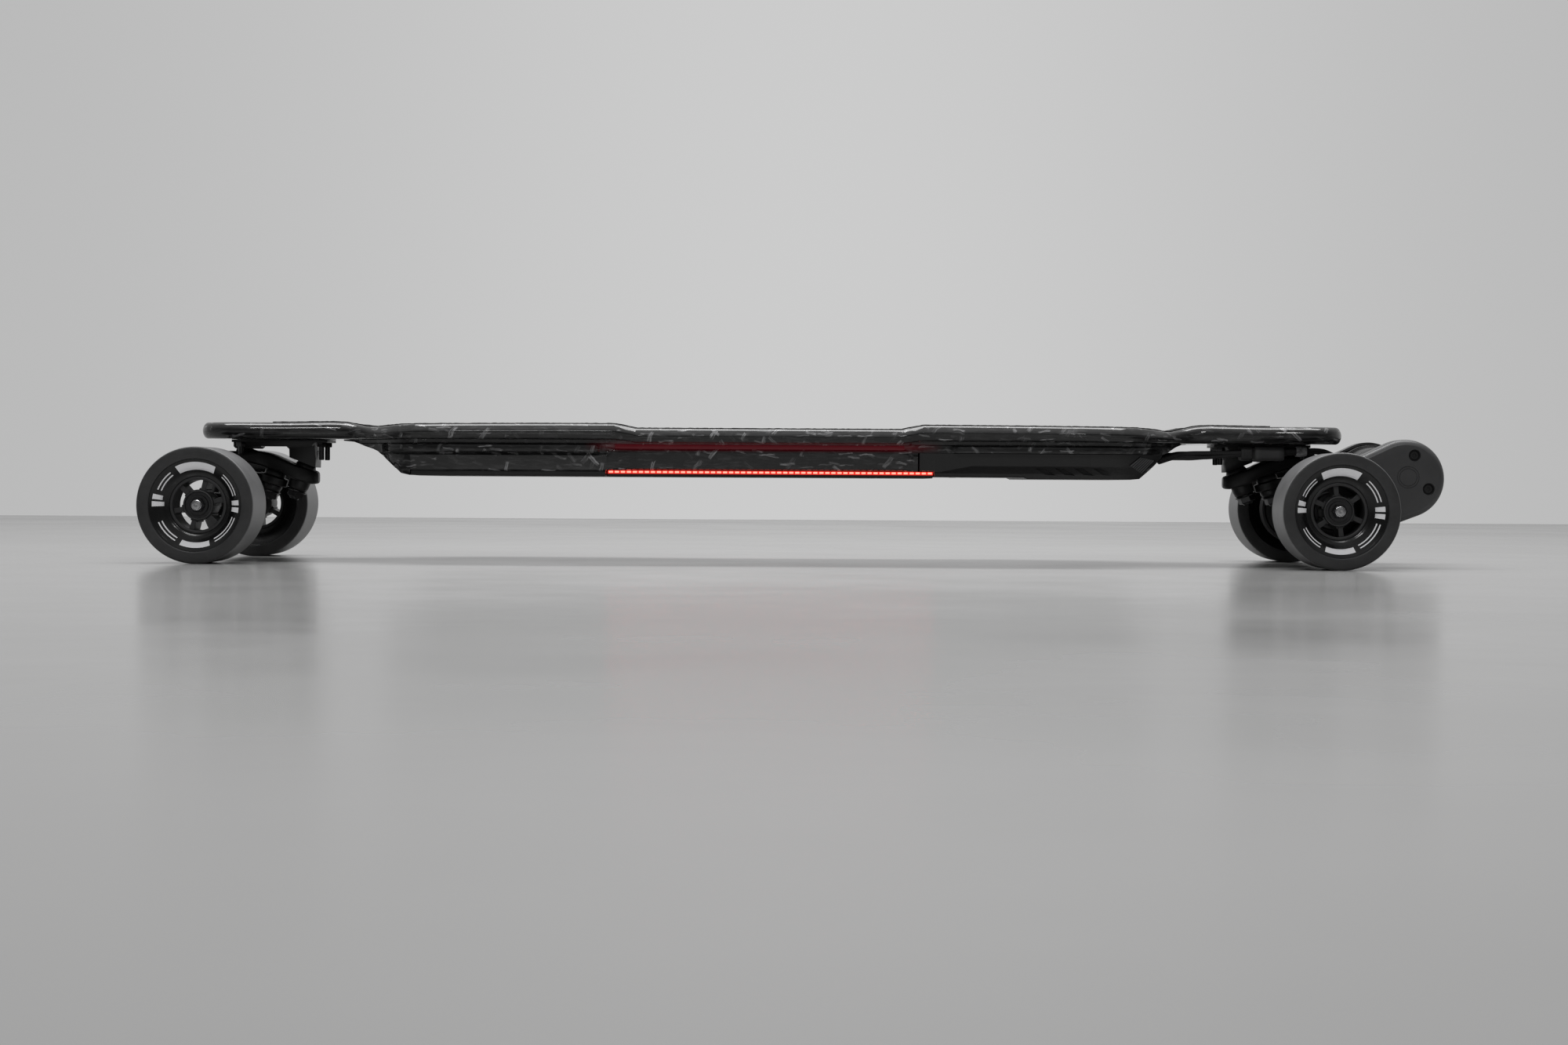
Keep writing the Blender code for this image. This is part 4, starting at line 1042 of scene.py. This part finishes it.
def build_wiring():
    for side, name in ((-1, "left"), (1, "right")):
        y = side * HARNESS_Y
        route = [(309.6, y, 90.4), (312, y, 91.0), (316, y, 92.2), (321, y, 93.6), (327, y, 94.8),
            (336, y, 95.2), (348, y, 95.3), (360, y, 96.0), (379.2, y, 96.8)]
        flat = smooth_path(route, 5)
        parts = []
        for shift, lift, wide, tall in ((-4.9, 1.2, 3.8, 2.0), (3.6, 1.3, 4.6, 1.9), (-2.6, -1.5, 5.4, 1.7),
                (5.0, -1.3, 3.6, 1.7)):
            moved = [p + Vector((0, shift, lift + 0.45 * math.sin(p.x * 0.11 + shift))) for p in flat]
            parts.append(sweep_data(moved, wide, tall, 14))
        cables = joined("harness_cables_" + name, parts, "sleeve", sharp=60)
        add(cables, "deck", "sleeve", "harness_" + name)

        boot = [soft_box([(378.9, 7.0, 4.2, 97.2), (379.4, 8.8, 6.0, 97.3), (380.8, 9.3, 6.5, 97.3),
            (388.0, 9.3, 6.5, 97.3), (388.8, 8.6, 6.0, 97.3), (389.0, 7.0, 4.2, 97.3)], y)]
        boot.append(prism_data([(388.6, 93.0), (390.4, 93.0), (390.4, 101.4), (388.6, 101.4)], y - 6.5,
            y + 6.5))
        for x in (382.0, 384.4, 386.8):
            boot.append(soft_box([(x - 0.5, 9.1, 6.2, 97.3), (x - 0.3, 9.5, 6.7, 97.3),
                (x + 0.3, 9.5, 6.7, 97.3), (x + 0.5, 9.1, 6.2, 97.3)], y))
        plug = joined("connector_plug_" + name, boot, "rubber", sharp=40)
        add(plug, "deck", "sleeve", "connector_" + name)
        stations = [(390.2, 7.0, 4.6, 97.2), (390.9, 8.6, 6.0, 97.2), (392.4, 9.4, 6.6, 97.2),
            (395.0, 9.5, 6.7, 97.2), (397.0, 9.2, 6.3, 97.2), (409.0, 9.2, 6.3, 97.1),
            (411.0, 9.5, 6.6, 97.1), (414.4, 9.4, 6.5, 97.1), (415.8, 8.6, 5.9, 97.1),
            (416.4, 7.0, 4.6, 97.2)]
        cover = joined("silicone_cover_" + name, [soft_box(stations, y)], "silicone", sharp=50)
        add(cover, "deck", "sleeve")
        neck = sweep_data([(416.0, y, 98.6), (420, y, 98.8), (428, y, 99.0), (436.8, y, 99.3)], 5.6, 3.3, 18)
        lead = joined("connector_neck_" + name, [neck], "rubber", sharp=60)
        add(lead, "deck", "sleeve")
        stations = [(427.0, 6.2, 3.9, 98.9), (427.6, 6.9, 4.4, 98.9), (431.0, 7.1, 4.6, 98.9),
            (434.4, 6.9, 4.4, 99.0), (435.8, 6.2, 3.9, 99.0)]
        tag = joined("lead_tag_" + name, [soft_box(stations, y, flat=0.7)], "tag", sharp=60)
        add(tag, "deck", "sleeve")

        route = smooth_path([(436.9, y, 99.5), (444, y, 99.6), (451, y, 98.8), (457, y * 0.99, 96.4),
            (463, y * 0.98, 93.4), (470, y * 0.96, 90.4), (477, y * 0.94, 88.2), (485.4, y * 0.92, 86.4)],
            4)
        middle = len(route) // 2
        for part, points in (("deck_half", route[: middle + 1]), ("motor_half", route[middle:])):
            strands = []
            for k in range(3):
                turn = 2 * math.pi * k / 3 + 0.5
                offset = Vector((0, math.cos(turn) * 2.0, math.sin(turn) * 1.5))
                strands.append(sweep_data([p + offset for p in points], 1.6, 1.6, 12, 1.0))
            piece = joined("lead_%s_%s" % (part, name), strands, "rubber", sharp=60)
            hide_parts("motor_lead_" + name)
            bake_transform(piece)


# ---------------------------------------------------------------- trucks
BOLT_D = (10.0, 80.8)
BOLT_REACH = (10.6, 15.4)
BOLT_Y = 13.4
BOLT_SEAT_Z = 102.75
KINGPINS = {"upper": ((65.5, 84.5), math.radians(21.0), 10.0, 9.0),
    "lower": ((38.5, 78.5), math.radians(17.0), 7.0, 5.6)}


def build_truck(end, axle_x, inboard):
    def at(d, y, z):
        return (axle_x + inboard * d, y, z)

    keep(end + "_baseplate", "truck_black", 0.7)
    keep(end + "_link", "truck_black", 0.7)
    keep(end + "_axle", "steel", 0.2)
    build_hanger(end, axle_x, inboard)

    bolts = []
    for d, reach in zip(BOLT_D, BOLT_REACH):
        for side in (-1, 1):
            seat = at(d, side * BOLT_Y, BOLT_SEAT_Z)
            bolts.append(fastener_data(seat, DOWN, 4.4, 4.0, 2.2))
            bolts.append(turned_data([(0, 0.02), (0, 2.3), (reach - 0.6, 2.3), (reach, 1.8), (reach, 0.02)],
                seat, DOWN, 16))
    hardware = joined(end + "_mounting_bolts", bolts, "dark_steel", sharp=30)
    add(hardware, "deck", "steel")
    heads = []
    for d in BOLT_D:
        for side in (-1, 1):
            s = axle_x + inboard * d - DECK_MID_X
            z = deck_surface(s, BOLT_Y / deck_half_width(s)) + 0.95
            heads.append(fastener_data(at(d, side * BOLT_Y, z - 1.4), UP, 4.2, 1.45, 2.0, 0))
    tops = joined(end + "_bolt_heads", heads, "dark_steel", sharp=30)
    add(tops, "deck", "steel")

    for which, (seat, lean, ring, lower) in KINGPINS.items():
        body = "deck" if which == "upper" else end + "_link"
        axis = (-inboard * math.sin(lean), 0, -math.cos(lean))
        centre = at(seat[0], 0, seat[1])
        ring_end = 5.3 + ring + 0.1
        lower_end = ring_end + 0.2 + lower
        nut = lower_end + 1.8
        head = -12.8 if which == "upper" else -4.4
        shank = [(head, 0.02), (head, 4.8), (nut - 0.2, 4.8), (nut + 6.2, 4.4), (nut + 6.8, 3.9),
            (nut + 6.8, 0.02)]
        parts = [turned_data(shank, centre, axis, 28)]
        parts.append(turned_data([(lower_end + 0.3, 4.8), (lower_end + 0.2, 8.8), (lower_end + 0.9, 9.2),
            (nut, 8.4), (nut, 4.8)], centre, axis, 40))
        base = Vector(centre) + Vector(axis) * (nut + 0.1)
        parts.append(fastener_data(base, axis, 7.6, 5.2, 4.4))
        pin = joined("%s_%s_kingpin_bolt" % (end, which), parts, "dark_steel", sharp=30)
        add(pin, body, "steel", "%s_%s_kingpin" % (end, which))
        for label, t0, t1, r0, r1 in (("top", 0.3, 5.2, 8.3, 9.3),
                ("low", ring_end + 0.2, lower_end, 9.3, 8.3)):
            bulge = (r0 + r1) / 2 + 0.35
            profile = [(t0, 5.1), (t0, r0 - 0.6), (t0 + 0.5, r0), ((t0 + t1) / 2, bulge), (t1 - 0.5, r1),
                (t1, r1 - 0.6), (t1, 5.1)]
            bushing = turned("%s_%s_bushing_%s_cone" % (end, which, label), profile, centre, axis,
                "bushing", 40, sharp=40)
            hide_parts("%s_%s_bushing_%s" % (end, which, label))
            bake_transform(bushing)

    for side in (-1, 1):
        hand = "left" if side < 0 else "right"
        spacer = on_side(side, ((64.2, 4.1), (64.2, 6.6), (66.4, 6.6), (66.4, 4.1)))
        if end == "front":
            spacer = on_side(side, ((64.2, 4.1), (64.2, 6.4), (64.6, 6.8), (98.6, 6.8), (99.6, 6.0),
                (99.6, 4.1)))
        ring = turned("%s_%s_axle_spacer" % (end, hand), spacer, at(0, 0, AXLE_Z), ACROSS, "dark_steel", 40)
        add(ring, end + "_hanger", "steel")


def build_hanger(end, axle_x, inboard):
    """Cast hanger: a waisted axle beam with an arm that rises into the ring round the lower kingpin."""
    def at(d, y, z):
        return (axle_x + inboard * d, y, z)

    centre = at(0, 0, AXLE_Z)
    half = [(63.2, 8.8), (56, 9.5), (44, 9.9), (30, 10.9), (22, 12.0), (15, 13.3), (9, 13.9), (0, 14.0)]
    profile = [(-63.2, 4.1)] + [(-y, r) for y, r in half]
    profile += [(y, r) for y, r in reversed(half[:-1])] + [(63.2, 4.1)]
    parts = [turned_data(profile, centre, ACROSS, 72)]
    for y in (-63.8, 57.8):
        collar = [(y, 4.1), (y, 9.6), (y + 0.5, 10.2), (y + 5.5, 10.2), (y + 6.0, 9.6), (y + 6.0, 4.1)]
        parts.append(turned_data(collar, centre, ACROSS, 56))
    add(joined(end + "_hanger_beam", parts, "truck_black", sharp=34), end + "_hanger", "truck_black",
        end + "_hanger")

    outline = [(-10.8, 53), (-10.6, 66), (-9.4, 76.0), (-7.6, 78.8), (-4, 80.2), (2, 80.3), (8, 79.2),
        (16, 77.6), (22, 76.4), (26.5, 75.6), (27.5, 71), (27.2, 64.5), (23, 57.5), (17, 51), (12.4, 46.5),
        (9, 43.5)]
    middle_d, middle_z = 7.0, 65.0
    half = [(11.6, 0.74), (11.3, 0.81), (10.4, 0.88), (9.0, 0.94), (7.2, 0.98), (5.0, 1.0)]
    rings = []
    for y, size in [(-y, size) for y, size in half] + half[::-1]:
        rings.append([(axle_x + inboard * (middle_d + (d - middle_d) * size), y,
            middle_z + (z - middle_z) * size) for d, z in outline])
    parts = [loft_data(rings)]
    seat, lean = KINGPINS["lower"][:2]
    pin = at(seat[0], 0, seat[1])
    axis = Vector((-inboard * math.sin(lean), 0, -math.cos(lean)))
    ring = [(5.4, 6.5), (5.4, 12.0), (6.0, 12.8), (11.8, 12.8), (12.4, 12.0), (12.4, 6.5)]
    parts.append(turned_data(ring, pin, axis, 56))
    pivot = Vector(at(-2, 0, 88))
    along = (Vector(pin) + axis * 9.0 - pivot).normalized()
    parts.append(turned_data([(-3, 0.02), (-3, 3.5), (-2.5, 4.0), (14, 4.0), (14, 0.02)], pivot, along, 32))
    arm = joined(end + "_hanger_arm", parts, "truck_black", bevel=0.6, sharp=40)
    add(arm, end + "_hanger", "truck_black", end + "_hanger")


# ---------------------------------------------------------------- wheels
def face_y(r):
    """Distance of the wheel's dished face from the middle plane at a radius."""
    return curve([(23.8, 126.9), (25.5, 127.3), (28, 129.0), (31, 131.9), (35, 135.3), (37.2, 136.9),
        (38.0, 137.3)], r)


def face_band(side, axle_x, r0, r1, a0, a1, steps):
    """A thin printed patch on the dished face, in plane polar coordinates."""
    rows = []
    for j in range(4):
        r = r0 + (r1 - r0) * j / 3
        for k in range(steps + 1):
            turn = math.radians(a0 + (a1 - a0) * k / steps)
            rows.append((r, turn))
    verts = []
    for lift in (0.10, 0.02):
        for r, turn in rows:
            verts.append((axle_x + r * math.cos(turn), side * (face_y(r) + lift),
                AXLE_Z + r * math.sin(turn)))
    n = steps + 1
    half = len(rows)
    faces = []
    for j in range(3):
        for k in range(steps):
            a = j * n + k
            faces.append((a, a + 1, a + n + 1, a + n))
            faces.append((half + a, half + a + n, half + a + n + 1, half + a + 1))
    border = list(range(n)) + [j * n + steps for j in range(1, 4)]
    border += [3 * n + k for k in range(steps - 1, -1, -1)] + [j * n for j in range(2, 0, -1)]
    for i, a in enumerate(border):
        b = border[(i + 1) % len(border)]
        faces.append((a, a + half, b + half, b))
    return verts, faces


def build_wheel(end, hand, axle_x, side, turn):
    name = end + "_" + hand
    centre = (axle_x, 0, AXLE_Z)
    body = name + "_wheel"
    outer = [(137.5, TREAD_R), (138.0, 48.38), (138.5, 48.0), (138.85, 47.5), (139.0, 46.9), (139.0, 39.6),
        (138.85, 38.9), (138.4, 38.5), (137.6, 38.3)]
    outer += [(face_y(r), r) for r in (38.0, 37.2, 35.5, 34, 32.5, 31, 29.5, 28, 26.5, 25.2, 24.4)]
    outer += [(126.6, 23.95), (125.0, 23.9)]
    inner = [(2 * WHEEL_MID_Y - y, r) for y, r in outer]
    profile = on_side(side, outer) + [(side * y, r) for y, r in reversed(inner)]
    profile += [(side * y, TREAD_R) for y in (89.6, 92.0, 100.0, 108.0, 112.3, 112.8)]
    profile += [(side * WHEEL_MID_Y, 48.44)]
    profile += [(side * y, TREAD_R) for y in (113.2, 113.7, 118.0, 126.0, 134.0, 136.4)]
    tyre = turned(name + "_urethane", profile, centre, ACROSS, "urethane", 128, origin=centre, sharp=38)
    add(tyre, body, "urethane", name + "_tyre")

    def polar(r, a):
        return axle_x + r * math.cos(math.radians(a)), AXLE_Z + r * math.sin(math.radians(a))

    parts = []
    ring = on_side(side, ((100.4, 21.2), (100.4, 23.8), (126.2, 23.8), (126.7, 23.3), (126.7, 21.8),
        (126.1, 21.0)))
    parts.append(turned_data(ring, centre, ACROSS, 96))
    hub = on_side(side, ((101.0, 8.6), (101.0, 12.6), (124.6, 12.9), (126.0, 12.6), (126.4, 11.9),
        (126.4, 11.2), (125.4, 10.9), (124.6, 10.8), (124.6, 8.6)))
    parts.append(turned_data(hub, centre, ACROSS, 64))
    for i in range(6):
        a = turn + 60 * i
        inside, outside = 3.0 / 12.2, 2.2 / 21.2
        outline = [polar(12.2, a - math.degrees(inside) * 0.62), polar(21.6, a - math.degrees(outside)),
            polar(21.6, a + math.degrees(outside)), polar(12.2, a + math.degrees(inside) * 0.62)]
        parts.append(prism_data(outline, side * 103.0, side * 124.2))
        parts.append(prism_data(arc(axle_x, AXLE_Z, 12.3, a - 17, a + 17, 6) + arc(axle_x, AXLE_Z, 14.3,
            a + 13, a - 13, 5), side * 104.0, side * 123.4))
    core = joined(name + "_spoked_core", parts, "core", origin=centre, bevel=0.35)
    add(core, body, "core", name + "_core")

    bearing = on_side(side, ((118.0, 4.2), (118.0, 10.9), (124.8, 10.9), (124.8, 9.6), (124.4, 9.4),
        (124.4, 6.6), (124.8, 6.4), (124.8, 4.2)))
    shield = turned(name + "_bearing", bearing, centre, ACROSS, "dark_steel", 48, origin=centre)
    add(shield, body, "steel")
    bearing = on_side(side, ((101.2, 4.2), (101.2, 10.9), (108.0, 10.9), (108.0, 4.2)))
    inner_race = turned(name + "_inner_bearing", bearing, centre, ACROSS, "dark_steel", 48, origin=centre)
    add(inner_race, body, "steel")

    marks = []
    for r0, r1 in ((30.9, 31.8), (33.4, 34.3)):
        for a0, a1 in ((128, 158), (205, 240), (298, 342), (14, 48)):
            marks.append(face_band(side, axle_x, r0, r1, a0, a1, 24))
    marks.append(face_band(side, axle_x, 29.4, 35.8, 62, 118, 32))
    for a0, a1, r0, r1 in ((165, 172, 29.0, 36.0), (175, 182, 27.5, 36.0), (-10, -3, 29.0, 36.0),
            (0, 7, 29.0, 36.0)):
        marks.append(face_band(side, axle_x, r0, r1, a0, a1, 6))
    marks.append(face_band(side, axle_x, 31.0, 35.4, 248, 290, 26))
    ink = joined(name + "_print", marks, "print", origin=centre, sharp=60)
    add(ink, body, "urethane")

    # The washer's dark steel is painted shade from the hollow of the hub round the nut.
    nut = [fastener_data((axle_x, side * 126.8, AXLE_Z), (0, side, 0), 6.3, 3.6, 4.6)]
    nut.append(turned_data([(side * 125.3, 4.1), (side * 125.3, 8.2), (side * 126.7, 8.2),
        (side * 126.7, 4.1)], (axle_x, 0, AXLE_Z), ACROSS, 40))
    lock = joined(name + "_lock_nut", nut, "dark_steel", sharp=30)
    add(lock, end + "_hanger", "steel", name + "_axle_nut")
    collar = on_side(side, ((130.2, 3.2), (130.2, 4.9), (131.4, 4.8), (132.2, 4.3), (132.6, 3.4),
        (132.6, 3.2)))
    bright = turned(name + "_lock_collar", collar, (axle_x, 0, AXLE_Z), ACROSS, "steel", 32)
    add(bright, end + "_hanger", "steel")


# ---------------------------------------------------------------- belt drive
COVER_SCREWS = ((71.7, 47.2), (83.7, 18.9), (45.0, 12.0))
BELT_PITCH = 5.0
WHEEL_TEETH = 32
MOTOR_TEETH = 15


def toothed(cx, cz, teeth, depth, inset):
    outer = teeth * BELT_PITCH / (2 * math.pi) - inset
    points = []
    for i in range(teeth):
        base, step = 360.0 * i / teeth, 360.0 / teeth
        for share, radius in ((0.0, outer), (0.40, outer), (0.50, outer - depth * 0.8),
                (0.62, outer - depth), (0.80, outer - depth), (0.92, outer - depth * 0.8)):
            turn = math.radians(base + step * share)
            points.append((cx + radius * math.cos(turn), cz + radius * math.sin(turn)))
    return points


def shell_between(outer, inner, y0, y1):
    count = len(outer)
    verts = []
    for loop, y in ((outer, y0), (outer, y1), (inner, y1), (inner, y0)):
        verts += [(x, y, z) for x, z in loop]
    faces = []
    for part in range(4):
        faces += strip_faces(part * count, ((part + 1) % 4) * count, count)
    return verts, faces


def build_drive(hand, side):
    name = "rear_" + hand
    axle = (REAR_AXLE_X, AXLE_Z)
    motor = (REAR_AXLE_X + MOTOR_DX, AXLE_Z + MOTOR_DZ)
    axle_point, motor_point = (axle[0], 0, axle[1]), (motor[0], 0, motor[1])

    rings = []
    for y, inset in ((64.4, 0.0), (79.4, 0.0), (80.2, 0.12), (81.0, 0.5), (82.0, 1.3), (82.9, 2.4),
            (83.5, 3.4), (83.9, 4.2), (84.0, 4.7)):
        rings.append([(x, side * y, z) for x, z in belt_loop(axle, 30.0 - inset, motor, 33.0 - inset, 40)])
    cover = loft(name + "_drive_shell", rings, "drive_cover", sharp=40)
    inside = belt_loop(axle, 28.0, motor, 31.0, 40)
    carve(cover, prism(name + "_cover_hollow", inside, side * 60, side * 80.0, "drive_cover"))
    carve(cover, turned(name + "_cover_bore", [(side * 70, 0.02), (side * 70, 17.5), (side * 90, 17.5),
        (side * 90, 0.02)], axle_point, ACROSS, "drive_cover", 64))
    for i, (dx, dz) in enumerate(COVER_SCREWS):
        spot = (axle[0] + dx, 0, axle[1] + dz)
        carve(cover, turned("%s_screw_well_%d" % (name, i), [(side * 81.4, 0.02), (side * 81.4, 4.7),
            (side * 83.7, 4.9), (side * 86, 6.6), (side * 86, 0.02)], spot, ACROSS, "drive_cover", 40))
    for r0, r1 in ((7.0, 7.6), (8.7, 9.4)):
        groove = [(side * 83.4, r0), (side * 83.4, r1), (side * 86, r1), (side * 86, r0)]
        carve(cover, turned("%s_ring_%d" % (name, int(r0 * 10)), groove,
            (axle[0] + 66.4, 0, axle[1] + 28.7), ACROSS, "drive_cover", 64))
    add(cover, "rear_hanger", "drive_cover", name + "_cover")
    screws = []
    for dx, dz in COVER_SCREWS:
        screws.append(fastener_data((axle[0] + dx, side * 80.9, axle[1] + dz), (0, side, 0), 3.7, 1.3, 1.9,
            0))
        cup = on_side(side, ((81.45, 3.8), (81.45, 4.64), (83.3, 4.78), (83.5, 4.6), (83.4, 4.35),
            (81.9, 4.2)))
        screws.append(turned_data(cup, (axle[0] + dx, 0, axle[1] + dz), ACROSS, 40))
    # The screws take the near-black matte belt rubber, darker and duller than steel, as painted shade in
    # their wells.
    screws = joined(name + "_cover_screws", screws, "belt", sharp=30)
    add(screws, "rear_hanger", "cover_black")

    keep(name + "_mount", "truck_black", 0.8)
    clamp = on_side(side, ((50.4, 10.6), (50.4, 15.0), (51.2, 15.8), (56.6, 15.8), (56.6, 10.6)))
    hub = turned(name + "_mount_clamp", clamp, axle_point, ACROSS, "truck_black", 56, bevel=0.4)
    add(hub, "rear_hanger", "truck_black")

    profile = [(6.0, 0.02), (6.0, 9.0), (6.6, 9.6), (6.6, 24.0), (7.4, 26.6), (9.0, 27.8), (10.4, 28.0),
        (16.0, 28.0), (16.4, 27.3), (17.6, 27.3), (18.0, 28.0), (48.0, 28.0), (48.4, 27.3), (49.6, 27.3),
        (50.0, 28.0), (55.6, 28.0), (56.4, 27.2), (56.4, 4.3), (49.0, 4.3), (49.0, 0.02)]
    profile = on_side(side, profile)
    can = turned(name + "_motor_can", profile, motor_point, ACROSS, "motor", 96, sharp=34)
    add(can, "rear_hanger", "motor", name + "_motor")
    route = smooth_path([(484.0, side * 40.6, 86.8), (488.0, side * 40.4, 85.8),
        (492.0, side * 40.2, 84.6)], 4)
    seal = sweep_data(route, 4.4, 3.6, 18)
    gland = joined(name + "_lead_gland", [seal], "rubber", sharp=60)
    add(gland, "rear_hanger", "sleeve")

    parts = [prism_data(toothed(axle[0], axle[1], WHEEL_TEETH, 2.0, 0.9), side * 67.4, side * 78.8)]
    for y0, y1 in ((66.0, 67.4), (78.8, 80.2)):
        flange = [(side * y0, 4.1), (side * y0, 26.4), (side * y1, 26.4), (side * y1, 4.1)]
        parts.append(turned_data(flange, axle_point, ACROSS, 72))
    hub = on_side(side, ((80.2, 4.1), (80.2, 16.0), (98.8, 16.0), (99.8, 15.0), (99.8, 4.1)))
    parts.append(turned_data(hub, axle_point, ACROSS, 64))
    pulley = joined(name + "_big_pulley", parts, "pulley", origin=axle_point, bevel=0.15)
    add(pulley, name + "_wheel", "pulley", name + "_wheel_pulley")

    parts = [prism_data(toothed(motor[0], motor[1], MOTOR_TEETH, 1.9, 0.9), side * 67.4, side * 78.8)]
    shaft = on_side(side, ((50.0, 0.02), (50.0, 4.0), (80.0, 4.0), (80.4, 3.6), (80.4, 0.02)))
    parts.append(turned_data(shaft, motor_point, ACROSS, 32))
    small = joined(name + "_small_pulley", parts, "pulley", origin=motor_point, bevel=0.15)
    add(small, name + "_rotor", "pulley", name + "_motor_pulley")

    wheel_pitch = WHEEL_TEETH * BELT_PITCH / (2 * math.pi)
    motor_pitch = MOTOR_TEETH * BELT_PITCH / (2 * math.pi)
    inner = belt_loop(axle, wheel_pitch - 0.3, motor, motor_pitch - 0.3, 40)
    outer = belt_loop(axle, wheel_pitch + 1.4, motor, motor_pitch + 1.4, 40)
    loop = joined(name + "_drive_belt", [shell_between(outer, inner, side * 67.8, side * 78.4)], "belt",
        sharp=40)
    add(loop, "rear_hanger", "belt", name + "_belt")


# ---------------------------------------------------------------- floor
def build_floor():
    s = Shader("studio_floor", roughness=0.2, ior=1.45)
    patch = s.noise(1.6, 5.0, 0.6)
    s.set("Base Color", s.blend(patch, (0.27, 0.27, 0.268, 1), (0.31, 0.31, 0.308, 1)))
    s.set("Roughness", s.ramp(s.noise(3.0, 4.0, 0.6), 0.3, 0.7, 0.16, 0.24))
    s.bump(s.noise(2.2, 2.0), 0.04, 0.02)
    mesh = bpy.data.meshes.new("floor")
    mesh.from_pydata([(-14, -9, 0), (14, -9, 0), (14, 2.62, 0), (-14, 2.62, 0)], [], [(0, 1, 2, 3)])
    floor = bpy.data.objects.new("floor", mesh)
    mesh.materials.append(s.material)
    bpy.context.scene.collection.objects.link(floor)


CUTTERS = []
MATERIAL = build_materials()
build_camera()
build_lights()
build_floor()
build_deck()
build_hull()
build_rear_cover()
build_led()
build_button()
build_wiring()
build_truck("front", FRONT_AXLE_X, 1)
build_truck("rear", REAR_AXLE_X, -1)
for end, hand, side, turn in (("front", "left", -1, 14), ("front", "right", 1, 31),
        ("rear", "left", -1, 37), ("rear", "right", 1, 50)):
    build_wheel(end, hand, FRONT_AXLE_X if end == "front" else REAR_AXLE_X, side, turn)
build_drive("left", -1)
build_drive("right", 1)
apply_cutters()
